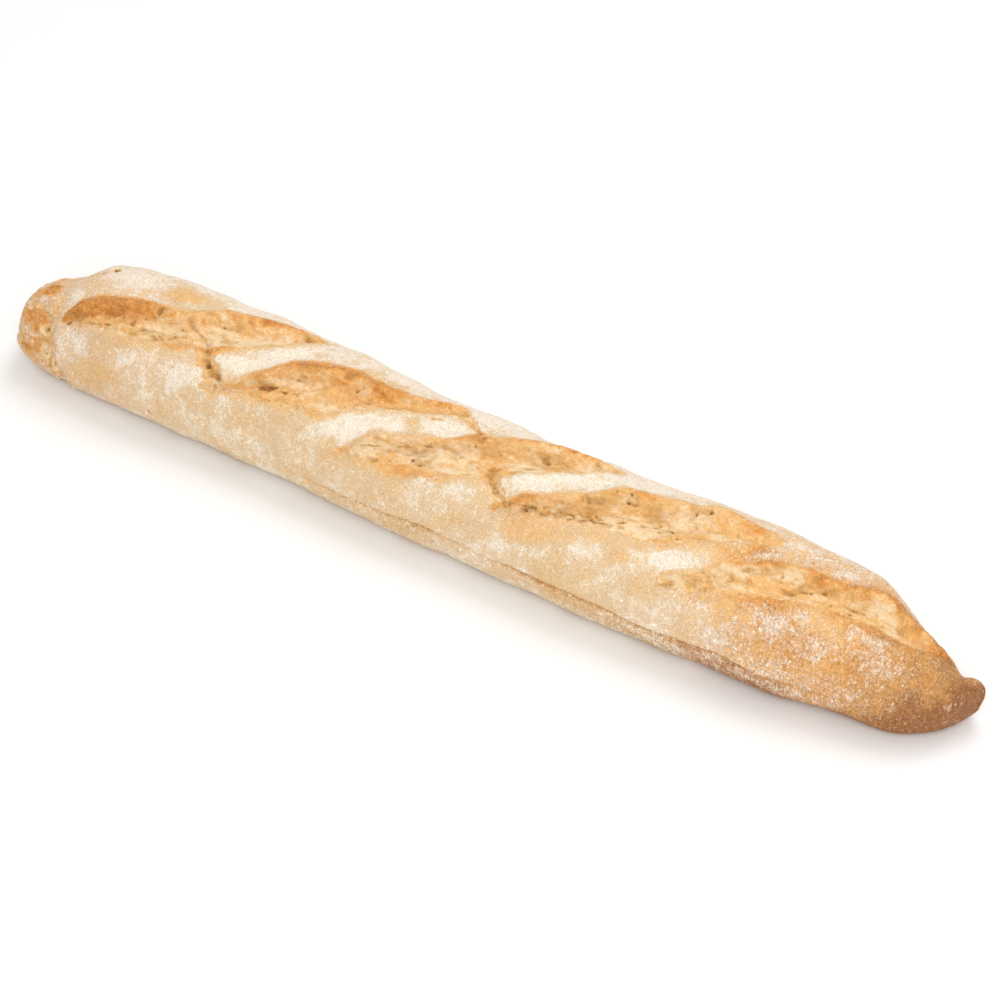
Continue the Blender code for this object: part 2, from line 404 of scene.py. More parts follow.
@dataclass
class Skin:
    """The crust at each point of the mesh: where it is, its relief and what covers it.

    Attributes:
        station: Distance from the heel.
        degrees: Turn round the section.
        arc: Length along the crust of one degree of turn.
        places: The smooth loaf's points in space.
        relief: How far the crust stands out from the smooth loaf.
        overhang: How far the crust leans towards the near side, in degrees.
        crumb: 1 where the crumb is laid open, 0 on crust.
        toast: How orange the heat has turned the thin edges and walls.
        hollow_shade: Painted shade, darker the deeper in a burst bubble or slit, in the crumb's dips, the
            tears, the heel's fold and under the scores' near edges.
        flour: How thick the flour lies.
        bake: How brown the crust is; low on the foot this is partly painted shade, and in the foot's crease
            painted shade.
        tone: Which patches of the crumb are creamy, near 0, and which golden, near 1. On the crust
            it is how rosy the flour is.
    """

    station: Array
    degrees: Array
    arc: Array
    places: Array
    relief: Array = field(init=False)
    overhang: Array = field(init=False)
    crumb: Array = field(init=False)
    toast: Array = field(init=False)
    hollow_shade: Array = field(init=False)
    flour: Array = field(init=False)
    bake: Array = field(init=False)
    tone: Array = field(init=False)

    PAINTED = ("crumb", "toast", "hollow_shade", "flour", "bake", "tone")

    def __post_init__(self) -> None:
        """Starts every layer at nothing."""
        for layer in ("relief", "overhang", *self.PAINTED):
            setattr(self, layer, np.zeros_like(self.station))

    @property
    def near(self) -> Array:
        """1 on the near half of the loaf, 0 on the far half."""
        return (np.cos(np.radians(self.degrees)) > 0).astype(float)


# --------------------------------------------------------------------------- what is worked into it


@dataclass(frozen=True)
class Score:
    """One slash, torn open into a lens between its lip and its ear.

    Attributes:
        start: Station of the slash's near end.
        ear: Turn of the raised far edge at shares of the slash's length.
        lip: Turn of the low near edge.
        ear_gold: How dark the heat has turned the far edge.
        lip_gold: How orange the near edge is.
        ear_band: How far down the wall the dark edge reaches.
        lip_band: Width of the bare crust below the near edge.
        ledge: Width of the smooth golden crust between the near edge and the torn crumb, in mm.
        depth: How deep the slash is torn at shares of its length, 1 for the usual depth.
        rim_shade: How dark the painted shade is on the crumb along its near edge, under the lip.
        honey: How golden the crumb is, from 0 for cream.
        pinch: How far its far end closes to a point, from 0 to 1.
    """

    start: float
    ear: Points
    lip: Points
    ear_gold: Points
    lip_gold: Points
    ear_band: float = 3.5 * MM
    lip_band: float = 2.2 * MM
    ledge: Points = ((0.0, 1.0), (1.0, 1.0))
    depth: Points = ((0.0, 1.0), (1.0, 1.0))
    rim_shade: Points = ((0.0, 0.0), (1.0, 0.0))
    honey: Points = ((0.0, 0.55), (1.0, 0.55))
    pinch: float = 0.7


SCORES = (
    Score(
        start=37 * MM,
        ear=((0.0, 45), (0.06, 59), (0.15, 67), (0.27, 74), (0.45, 82), (0.60, 103), (0.77, 113), (1.0, 128)),
        lip=((0.0, 38), (0.08, 37), (0.20, 40), (0.38, 46), (0.55, 54), (0.74, 73), (0.91, 95), (1.0, 118)),
        ear_gold=(
            (0.0, 1.3), (0.16, 1.15), (0.28, 0.7), (0.40, 0.45), (0.55, 0.85), (0.85, 0.95), (1.0, 0.6),
        ),
        lip_gold=((0.0, 0.0), (0.2, 0.15), (0.42, 0.25), (0.52, 0.75), (0.62, 0.7), (0.75, 0.5), (1.0, 0.3)),
        ear_band=5.5 * MM,
        lip_band=4 * MM,
        rim_shade=((0.0, 0.2), (0.1, 0.50), (0.3, 0.50), (0.45, 0.1), (1.0, 0.0)),
        honey=((0.0, 0.9), (0.22, 0.70), (0.40, 0.32), (1.0, 0.38)),
    ),
    Score(
        start=121 * MM,
        ear=((0.0, 29), (0.12, 42), (0.24, 62), (0.35, 82), (0.50, 95), (0.64, 99), (0.81, 108), (1.0, 121)),
        lip=((0.0, 29), (0.13, 32), (0.30, 37), (0.55, 49), (0.65, 64), (0.80, 85), (1.0, 102)),
        ear_gold=((0.0, 0.1), (0.14, 0.35), (0.25, 0.85), (0.4, 0.9), (0.6, 1.0), (0.8, 0.75), (1.0, 0.6)),
        lip_gold=((0.0, 0.45), (0.2, 0.80), (0.38, 0.7), (0.55, 0.4), (0.75, 0.3), (1.0, 0.2)),
        ledge=((0.0, 2.0), (0.3, 1.5), (1.0, 0.5)),
        honey=((0.0, 0.60), (0.25, 0.80), (1.0, 0.74)),
        pinch=0.35,
    ),
    Score(
        start=203 * MM,
        ear=(
            (0.0, 27), (0.14, 55), (0.25, 64), (0.37, 71), (0.46, 87), (0.60, 100), (0.68, 115), (0.75, 126),
            (1.0, 123),
        ),
        lip=((0.0, 28), (0.09, 27), (0.26, 35), (0.43, 44), (0.60, 55), (0.75, 80), (0.90, 99), (1.0, 110)),
        ear_gold=((0.0, 0.3), (0.2, 0.35), (0.36, 0.45), (0.46, 0.95), (0.6, 0.75), (0.85, 0.7), (1.0, 0.5)),
        lip_gold=((0.0, 0.35), (0.1, 0.65), (0.3, 0.75), (0.42, 0.45), (0.58, 0.5), (0.7, 0.3), (1.0, 0.3)),
        ledge=((0.0, 2.5), (0.3, 2.5), (0.5, 1.0), (1.0, 0.5)),
        honey=((0.0, 0.35), (0.3, 0.40), (0.6, 0.55), (1.0, 0.55)),
    ),
    Score(
        start=287 * MM,
        ear=(
            (0.0, 38), (0.16, 60), (0.33, 80), (0.41, 96), (0.63, 105), (0.78, 115), (0.90, 113), (1.0, 110),
        ),
        lip=((0.0, 29), (0.08, 25), (0.17, 30), (0.43, 48), (0.60, 54), (0.75, 72), (0.90, 88), (1.0, 97)),
        ear_gold=((0.0, 0.6), (0.15, 0.7), (0.28, 0.5), (0.45, 0.65), (0.6, 0.6), (0.8, 0.65), (1.0, 0.5)),
        lip_gold=((0.0, 0.30), (0.2, 0.35), (0.35, 0.28), (0.5, 0.35), (0.75, 0.4), (1.0, 0.3)),
        ear_band=4 * MM,
        lip_band=4 * MM,
        ledge=((0.0, 3.0), (0.08, 9.0), (0.2, 9.0), (0.35, 6.0), (0.55, 3.5), (0.8, 1.5), (1.0, 0.5)),
        rim_shade=((0.0, 0.2), (0.08, 0.75), (0.4, 0.75), (0.52, 0.25), (1.0, 0.0)),
        pinch=0.2,
    ),
    Score(
        start=375 * MM,
        ear=((0.0, 38), (0.13, 51), (0.21, 65), (0.45, 88), (0.63, 95), (0.80, 117), (1.0, 121)),
        lip=((0.0, 29), (0.10, 33), (0.32, 45), (0.52, 59), (0.70, 67), (0.84, 77), (1.0, 90), (1.06, 104)),
        ear_gold=((0.0, 0.0), (0.10, 0.15), (0.18, 0.45), (0.30, 0.85), (0.6, 1.05), (0.8, 1.15), (1.0, 1.1)),
        lip_gold=((0.0, 0.1), (0.12, 0.35), (0.3, 0.25), (0.5, 0.55), (0.75, 0.8), (1.0, 0.9)),
        ear_band=4 * MM,
        lip_band=3 * MM,
        ledge=((0.0, 1.0), (0.6, 1.5), (1.0, 3.0)),
        depth=((0.0, 0.25), (0.25, 0.35), (0.42, 0.8), (0.6, 1.0), (1.0, 1.0)),
        honey=((0.0, 0.05), (0.2, 0.12), (0.4, 0.50), (0.7, 0.75), (1.0, 0.80)),
    ),
)


@dataclass(frozen=True)
class Opening:
    """One score laid over the crust, and the ragged patterns of its edges.

    Attributes:
        score: The score.
        share: Share of the score's length, 0 at its near end.
        ends: 1 along the score, falling to 0 past its two ends.
        inside: The same with ragged ends.
        ear: Turn of the ragged far edge.
        across: 0 at the near edge and 1 at the far edge.
        depth: How deep it is torn, 1 for the usual depth.
        past_lip: Length along the crust from the near edge.
        past_ear: Length along the crust from the far edge.
        ledge: Width of the smooth crust inside the near edge.
        wander: A slow pattern.
        fray: A fine pattern.
        patch: A pattern of wide patches.
    """

    score: Score
    share: Array
    ends: Array
    inside: Array
    ear: Array
    across: Array
    depth: Array
    past_lip: Array
    past_ear: Array
    ledge: Array
    wander: Array
    fray: Array
    patch: Array


@dataclass(frozen=True)
class ScoreCutter:
    """Opens the scores: a floor that sinks from the lip, a wall up to the ear, and torn edges.

    A range gives where a rise or fall starts and ends, and a peak its centre and its width.
    """

    scores: tuple[Score, ...] = SCORES
    length: float = 0.128
    full_turn: float = 44
    least_turn: float = 4
    depth_power: float = 0.7
    wander_size: float = 10 * MM
    fray_size: float = 3.2 * MM
    patch_size: float = 16 * MM
    near_end: Range = (-0.04, 0.05)
    far_end: Range = (0.95, 1.05)
    pinched_end: Range = (0.84, 1.02)
    profile: Points = (
        (-0.30, 0.0), (-0.06, 0.6 * MM), (0.06, -0.1 * MM), (0.25, -2.4 * MM), (0.45, -4.0 * MM),
        (0.60, -4.8 * MM), (0.70, -3.8 * MM), (0.84, -0.6 * MM), (0.95, 2.0 * MM),
        (1.03, 2.2 * MM), (1.20, 0.9 * MM), (1.45, 0.0),
    )
    crumb_past_ledge: Range = (-0.3 * MM, 0.5 * MM)
    crust_before_ear: Range = (-0.9 * MM, -0.2 * MM)
    lip_step: float = 0.5 * MM
    lip_step_rise: Range = (-0.2 * MM, 0.6 * MM)
    lip_step_fall: Range = (2 * MM, 7 * MM)
    ear_edge: float = 0.6 * MM
    ear_edge_peak: Range = (0.4 * MM, 1.1 * MM)
    ear_lean: float = 1.2 * MM
    ear_lean_peak: Range = (0.9, 0.14)
    ear_toast_start: float = 0.4 * MM
    ear_toast_edge: float = 1.5 * MM
    ear_toast_fall: Range = (0.3 * MM, 2.6 * MM)
    lip_toast_most: float = 0.7
    rim_shade_peak: Range = (1.5 * MM, 1.7 * MM)
    rubbed_rise: Range = (-1.4 * MM, -0.6 * MM)
    rubbed_fall: Range = (0.4 * MM, 3.8 * MM)
    floury_past_ear: Range = (0.2 * MM, 4.4 * MM)
    floury_turns: Range = (30, 60)
    less_flour_towards_tip: Range = (0.375, 0.440)
    grain: Grain = Grain(11)

    def open(self, skin: Skin) -> None:
        """Cuts every score into the skin.

        Args:
            skin: The crust, whose relief and layers are changed.
        """
        wander = self.grain.layered(skin.places, self.wander_size, 3)
        fray = self.grain.layered(skin.places + 0.5, self.fray_size, 3)
        patch = self.grain.layered(skin.places + 0.9, self.patch_size, 4)
        toast = np.zeros_like(skin.station)
        bare = np.zeros_like(skin.station)
        floury = np.zeros_like(skin.station)
        for score in self.scores:
            opening = self._lay_out(score, skin, wander, fray, patch)
            self._tear(opening, skin)
            self._shade_rim(opening, skin)
            toast = np.maximum(toast, self._ear_toast(opening))
            lip_toast, lip_bare = self._rub_lip(opening)
            toast = np.maximum(toast, lip_toast)
            bare = np.maximum(np.maximum(bare, lip_bare), self._rub_ear(opening))
            floury = np.maximum(floury, self._dust_above(opening, skin))
        skin.toast = np.maximum(skin.toast * (1 - 0.85 * skin.crumb), toast)
        towards_tip = step(*self.less_flour_towards_tip, skin.station)
        heavy = 0.74 + 0.46 * patch + 0.32 * wander - 0.50 * towards_tip
        skin.flour = blend(skin.flour, np.maximum(skin.flour, heavy), floury)
        skin.flour *= 1 - 0.78 * bare
        skin.flour *= 1 - skin.crumb

    def _lay_out(self, score: Score, skin: Skin, wander: Array, fray: Array, patch: Array) -> Opening:
        """Lays a score over the crust.

        Args:
            score: The score.
            skin: The crust.
            wander: A slow pattern.
            fray: A fine pattern.
            patch: A pattern of wide patches.

        Returns:
            The score's measures at each point.
        """
        share = (skin.station - score.start) / self.length
        ends = step(*self.near_end, share) * (1 - step(*self.far_end, share))
        ear = curve(score.ear, share) + 2.0 * wander + 1.7 * fray
        lip = curve(score.lip, share) - 2.2 * wander + 1.6 * fray
        lip += score.pinch * (ear - lip) * step(*self.pinched_end, share)
        width = np.maximum(ear - lip, self.least_turn)
        return Opening(
            score=score,
            share=share,
            ends=ends,
            inside=step(0.25, 0.5, ends + 0.12 * fray),
            ear=ear,
            across=(skin.degrees - lip) / width,
            depth=np.minimum(width / self.full_turn, 1) ** self.depth_power * curve(score.depth, share),
            past_lip=(skin.degrees - lip) * skin.arc,
            past_ear=(skin.degrees - ear) * skin.arc,
            ledge=curve(score.ledge, share) * MM * (1 + 0.4 * wander + 0.3 * fray),
            wander=wander,
            fray=fray,
            patch=patch,
        )

    def _tear(self, opening: Opening, skin: Skin) -> None:
        """Tears the crust open, raises the ear and lays the crumb bare.

        Args:
            opening: The score.
            skin: The crust, whose relief, overhang, crumb and tone are changed.
        """
        inside = opening.inside
        skin.relief += curve(self.profile, opening.across) * opening.depth * opening.ends
        rim = inside * peak(*self.ear_edge_peak, -opening.past_ear) * (1 + 0.5 * opening.wander)
        torn_lip = step(*self.lip_step_rise, opening.past_lip)
        torn_lip = torn_lip * (1 - step(*self.lip_step_fall, opening.past_lip))
        skin.relief += self.ear_edge * rim - self.lip_step * inside * torn_lip * (1 + opening.patch)
        lean = peak(*self.ear_lean_peak, opening.across)
        skin.overhang += inside * self.ear_lean * opening.depth * lean / skin.arc
        crumb = step(*self.crumb_past_ledge, opening.past_lip - opening.ledge)
        opened = inside * (crumb * (1 - step(*self.crust_before_ear, opening.past_ear)))
        skin.crumb = np.maximum(skin.crumb, opened)
        skin.tone = blend(skin.tone, curve(opening.score.honey, opening.share), opened)

    def _shade_rim(self, opening: Opening, skin: Skin) -> None:
        """Paints shade on the crumb along the near edge, under the lip.

        Args:
            opening: The score.
            skin: The crust, whose painted shade is changed.
        """
        from_ledge = opening.past_lip - opening.ledge + opening.fray * 1.2 * MM
        shade = opening.inside * curve(opening.score.rim_shade, opening.share)
        shade = shade * peak(*self.rim_shade_peak, from_ledge)
        skin.hollow_shade = np.maximum(skin.hollow_shade, shade * np.clip(0.75 + 0.9 * opening.fray, 0, 1.2))

    def _ear_toast(self, opening: Opening) -> Array:
        """Finds where the heat caught the thin far edge: a dark rim that fades down the wall.

        Args:
            opening: The score.

        Returns:
            The toast at each point.
        """
        wander, fray = opening.wander, opening.fray
        gold = curve(opening.score.ear_gold, opening.share) * (1.04 + 0.55 * opening.patch + 0.35 * wander)
        reach = opening.score.ear_band * (1 + 0.5 * wander + 0.3 * fray)
        down = np.clip(self.ear_toast_start - opening.past_ear, 0, None)
        toast = gold * (0.62 * np.exp(-((down / reach) ** 2)) + 0.42 * np.exp(-down / self.ear_toast_edge))
        toast *= 1 - step(*self.ear_toast_fall, opening.past_ear + 0.6 * MM * fray)
        return opening.inside * toast * step(0.0, 0.25, opening.across)

    def _rub_lip(self, opening: Opening) -> tuple[Array, Array]:
        """Finds the golden bare crust along the near edge.

        Args:
            opening: The score.

        Returns:
            The toast and how bare the crust is at each point.
        """
        fray, patch, ledge = opening.fray, opening.patch, opening.ledge
        gold = curve(opening.score.lip_gold, opening.share) * np.clip(1 + 0.8 * patch, 0, 1.3)
        band = opening.score.lip_band * (1 + 0.45 * opening.wander)
        along = step(-1.6 * band, -0.1 * band, opening.past_lip + (1.5 * fray + 1.6 * patch) * MM)
        along *= 1 - step(ledge - 1.0 * MM, ledge + 2.0 * MM, opening.past_lip + fray * 0.8 * MM)
        along *= step(-0.02, 0.13, opening.share + 0.05 * opening.wander)
        toast = np.minimum(0.9 * gold, self.lip_toast_most) * along * opening.inside
        return toast, opening.inside * along * np.clip(0.35 + gold, 0, 1)

    def _rub_ear(self, opening: Opening) -> Array:
        """Finds the bare rim past the far edge.

        Args:
            opening: The score.

        Returns:
            How bare the crust is at each point.
        """
        rubbed = step(*self.rubbed_rise, opening.past_ear)
        ragged = (0.9 * opening.fray + 0.8 * opening.patch) * MM
        rubbed *= 1 - step(*self.rubbed_fall, opening.past_ear + ragged)
        return opening.inside * rubbed * 0.9

    def _dust_above(self, opening: Opening, skin: Skin) -> Array:
        """Finds the floury crust past the far edge.

        Args:
            opening: The score.
            skin: The crust.

        Returns:
            1 where the flour lies thick, 0 elsewhere.
        """
        above = opening.inside * step(*self.floury_past_ear, opening.past_ear + opening.fray * 1.8 * MM)
        return above * (1 - step(*self.floury_turns, skin.degrees - opening.ear))


@dataclass(frozen=True)
class Tear:
    """A ragged channel between two scores, given by (station, turn) points."""

    points: Points
    width: float = 2.2 * MM
    depth: float = 2.6 * MM


@dataclass(frozen=True)
class TearSet:
    """The tears that join one score to the next."""

    tears: tuple[Tear, ...] = (
        Tear(((0.100, 78), (0.110, 71), (0.116, 58)), 0.8 * MM, 1.5 * MM),
        Tear(((0.116, 58), (0.121, 47), (0.129, 39)), 3.2 * MM, 3.0 * MM),
        Tear(((0.250, 108), (0.258, 101), (0.266, 91)), 1.6 * MM, 2.0 * MM),
        Tear(((0.278, 62), (0.284, 51), (0.293, 44)), 2.6 * MM, 2.6 * MM),
    )
    fray_size: float = 4 * MM
    ragged_size: float = 2.2 * MM
    raggedness: float = 0.9 * MM
    # how dark the painted shadow in a tear's channel is, at the dark width and wider
    dark: float = 0.60
    dark_width: float = 2.4 * MM
    tone: float = 0.7
    grain: Grain = Grain(12)

    def open(self, skin: Skin) -> None:
        """Tears the channels into the skin.

        Args:
            skin: The crust, whose relief and layers are changed.
        """
        fray = 1 + 0.6 * self.grain.layered(skin.places, self.fray_size, 3)
        ragged = self.raggedness * self.grain.layered(skin.places + 0.7, self.ragged_size, 3)
        for tear in self.tears:
            nearest = np.full_like(skin.station, LOAF_LENGTH)
            for (here, here_turn), (there, there_turn) in zip(tear.points, tear.points[1:]):
                x = skin.station - here
                y = (skin.degrees - here_turn) * skin.arc
                run_x = there - here
                run_y = (there_turn - here_turn) * skin.arc
                share = np.clip((x * run_x + y * run_y) / (run_x * run_x + run_y * run_y), 0, 1)
                nearest = np.minimum(nearest, np.hypot(x - share * run_x, y - share * run_y))
            channel = peak(0, tear.width * fray, np.abs(nearest + ragged))
            skin.relief -= tear.depth * channel
            torn = step(0.3, 0.5, channel)
            rim = 0.35 * fray * peak(0.25, 0.15, channel) * (1 - skin.crumb)
            skin.toast = np.maximum(skin.toast, rim)
            # painted shadow in the bottom of each channel, darker in the wider tears
            dark = self.dark * min(tear.width / self.dark_width, 1.0)
            skin.hollow_shade = np.maximum(skin.hollow_shade, dark * step(0.50, 1.0, channel))
            skin.crumb = np.maximum(skin.crumb, torn)
            skin.tone = blend(skin.tone, self.tone, torn)
            skin.flour *= 1 - np.maximum(torn, step(0.05, 0.3, channel))


@dataclass(frozen=True)
class Bubble:
    """A burst bubble.

    Attributes:
        station: Distance from the heel in metres.
        turn: Turn round the section in degrees.
        half_length: Half its length along its slant, in mm.
        half_width: Half its width, in mm.
        depth: How deep it sinks, in mm.
        dark: How dark the painted shade inside it is; half of it also toasts the ring round it.
    """

    station: float
    turn: float
    half_length: float
    half_width: float
    depth: float
    dark: float


@dataclass(frozen=True)
class BubbleSet:
    """The burst bubbles and slits in the laid-open crumb, which lean the way the scores do."""

    slant: float = 18
    squareness: float = 1.4
    raggedness: float = 1.3 * MM
    ragged_size: float = 2.6 * MM
    depth_share: float = 0.75
    grain: Grain = Grain(17)
    bubbles: tuple[Bubble, ...] = (
        Bubble(0.041, 40, 1.1, 0.9, 1.4, 0.8),
        Bubble(0.062, 47, 2.0, 1.0, 1.6, 0.65), Bubble(0.074, 57, 2.2, 1.6, 1.8, 0.7),
        Bubble(0.084, 76, 2.6, 1.8, 2.4, 0.85), Bubble(0.096, 82, 1.8, 0.8, 1.4, 0.6),
        Bubble(0.097, 58, 2.0, 1.4, 1.6, 0.6), Bubble(0.124, 76, 4.0, 1.5, 1.2, 0.35),
        Bubble(0.121, 47, 1.6, 1.4, 2.6, 0.9), Bubble(0.128, 40, 1.0, 1.2, 1.6, 0.6),
        Bubble(0.155, 50, 5.0, 1.9, 2.8, 0.85), Bubble(0.164, 51, 1.8, 1.3, 2.2, 0.8),
        Bubble(0.172, 74, 7.0, 4.6, 2.2, 0.12), Bubble(0.193, 76, 6.0, 4.4, 2.2, 0.12),
        Bubble(0.214, 84, 5.0, 1.0, 1.8, 0.5), Bubble(0.239, 92, 3.0, 0.9, 1.6, 0.5),
        Bubble(0.218, 44, 4.5, 0.8, 1.6, 0.6), Bubble(0.233, 55, 3.5, 0.7, 1.8, 0.65),
        Bubble(0.245, 64, 3.0, 0.7, 1.8, 0.65), Bubble(0.265, 88, 2.4, 1.3, 2.0, 0.55),
        Bubble(0.277, 86, 4.0, 3.0, 1.2, 0.1), Bubble(0.276, 68, 2.0, 1.0, 1.4, 0.5),
        Bubble(0.295, 109, 3.0, 1.4, 2.0, 0.7), Bubble(0.302, 45, 1.9, 1.0, 2.0, 0.7),
        Bubble(0.311, 49, 1.6, 0.8, 1.8, 0.6), Bubble(0.317, 51, 2.6, 0.7, 1.6, 0.55),
        Bubble(0.323, 53, 2.2, 0.8, 1.6, 0.6), Bubble(0.330, 61, 2.6, 1.1, 2.2, 0.65),
        Bubble(0.327, 75, 2.2, 1.2, 2.0, 0.65), Bubble(0.346, 67, 2.4, 1.1, 2.0, 0.7),
        Bubble(0.346, 91, 1.6, 1.0, 1.8, 0.7), Bubble(0.360, 88, 6.0, 4.0, 1.4, 0.1),
        Bubble(0.369, 77, 2.0, 1.1, 1.6, 0.5), Bubble(0.411, 68, 4.0, 0.8, 1.4, 0.5),
        Bubble(0.405, 57, 2.0, 0.9, 1.2, 0.4), Bubble(0.439, 86, 3.0, 0.8, 1.4, 0.5),
        Bubble(0.460, 80, 4.0, 1.1, 1.6, 0.6), Bubble(0.490, 99, 2.2, 1.0, 1.2, 0.5),
        Bubble(0.506, 98, 1.2, 0.8, 0.8, 0.5), Bubble(0.040, 102, 1.4, 1.0, 1.6, 0.9),
        Bubble(0.046, 108, 1.8, 1.3, 1.8, 0.9), Bubble(0.019, 74, 1.8, 0.9, 1.2, 0.55),
        Bubble(0.018, 85, 2.0, 0.8, 1.2, 0.5), Bubble(0.027, 0, 1.2, 0.9, 1.4, 0.8),
        Bubble(0.094, 347, 1.6, 1.2, 1.2, 0.6),
    )

    def burst(self, skin: Skin) -> None:
        """Sinks the bubbles into the skin.

        Args:
            skin: The crust, whose relief and layers are changed.
        """
        pull_along = self.raggedness * self.grain.layered(skin.places, self.ragged_size, 3)
        pull_around = self.raggedness * self.grain.layered(skin.places + 0.6, self.ragged_size, 3)
        for bubble in self.bubbles:
            along = skin.station - bubble.station + pull_along
            around = (skin.degrees - bubble.turn) * skin.arc + pull_around
            half_sizes = (bubble.half_length * MM, bubble.half_width * MM)
            pit = slanted_spot(along, around, self.slant, half_sizes, self.squareness)
            skin.relief -= self.depth_share * bubble.depth * MM * pit
            # painted shade inside the bubble
            skin.hollow_shade = np.maximum(skin.hollow_shade, bubble.dark * step(0.15, 0.65, pit))
            skin.crumb = np.maximum(skin.crumb, step(0.2, 0.5, pit))
            skin.toast = np.maximum(skin.toast, 0.5 * bubble.dark * peak(0.3, 0.2, pit))
            skin.flour *= 1 - step(0.15, 0.5, pit)


@dataclass(frozen=True)
class CrumbTexture:
    """The laid-open crumb: membranes stretched along the scores, shallow bubbles and torn strands.

    The pulls, in mm, are how far two of the patterns bend the others.
    """

    lean: float = 20
    stretch: float = 0.5
    fold_size: float = 6 * MM
    fold_height: float = 1.0 * MM
    bubble_size: float = 5.5 * MM
    bubble_depth: float = 1.1 * MM
    dimple_size: float = 2.4 * MM
    dimple_depth: float = 0.6 * MM
    pore_size: float = 3.3 * MM
    pore_depth: float = 0.9 * MM
    strand_height: float = 0.55 * MM
    rough_size: float = 2.4 * MM
    rough_height: float = 0.65 * MM
    drift_size: float = 8 * MM
    drift_pull: float = 1.2
    rough_pull: float = 0.6
    grain: Grain = Grain(13)

    def open(self, skin: Skin) -> None:
        """Works the crumb's membranes into the skin wherever the crust is torn, and paints shade into its
        dips.

        Args:
            skin: The crust, whose relief and layers are changed.
        """
        torn = skin.crumb > 0
        places = skin.places[torn]
        inside = skin.crumb[torn]
        lean = math.radians(self.lean)
        along = places[:, 0] * math.cos(lean) + places[:, 1] * math.sin(lean)
        aside = places[:, 1] * math.cos(lean) - places[:, 0] * math.sin(lean)
        drawn = np.stack([along * self.stretch, aside, places[:, 2]], axis=1)
        drift = self.grain.layered(drawn, self.drift_size, 3)
        fine = self.grain.layered(drawn + 0.45, self.rough_size, 3)
        folds = self.grain.layered(drawn + 0.8, self.fold_size, 4)
        warped = drawn + (self.drift_pull * drift + self.rough_pull * fine)[:, None] * MM
        near, second, owner = self.grain.cells(warped, self.bubble_size)
        bubble = step(0.52, 0.16, near) * step(-0.1, 0.5, owner)
        strand = (1 - step(0.0, 0.16, second - near)) * step(-0.2, 0.5, drift + 0.4 * fine)
        small, _, small_owner = self.grain.cells(warped + 0.3, self.dimple_size)
        dimple = step(0.55, 0.10, small) * step(-0.3, 0.6, small_owner)
        pulled = places + 0.7 + self.rough_pull * MM * fine[:, None]
        pore, _, pore_owner = self.grain.cells(pulled, self.pore_size)
        pit = step(0.30, 0.16, pore) * step(0.55, 0.70, pore_owner)
        skin.relief[torn] += inside * (
            self.fold_height * folds
            - self.bubble_depth * bubble
            - self.dimple_depth * dimple
            + self.strand_height * strand
            + self.rough_height * fine
            - self.pore_depth * pit
        )
        # painted shade: darker in the sunk bubbles, dimples and pores, lighter on the raised folds and lumps
        shade = 0.18 * bubble + 0.20 * dimple - 0.50 * folds - 0.34 * fine + 0.04
        skin.hollow_shade[torn] = np.maximum(skin.hollow_shade[torn], inside * np.clip(shade + 0.6 * pit, 0, 1))
        honey = skin.tone[torn]
        edges = 0.20 * strand + 0.35 * step(0.1, 0.7, drift + 0.3 * fine)
        edges *= np.clip(0.2 + 1.5 * honey, 0, 1)
        skin.toast[torn] = np.maximum(skin.toast[torn], skin.toast[torn] * 0.8 + inside * edges)
        golden = honey + 0.80 * drift - 0.25 * folds + 0.30 * fine - 0.40 * bubble
        skin.tone[torn] = np.clip(golden, 0, 1)


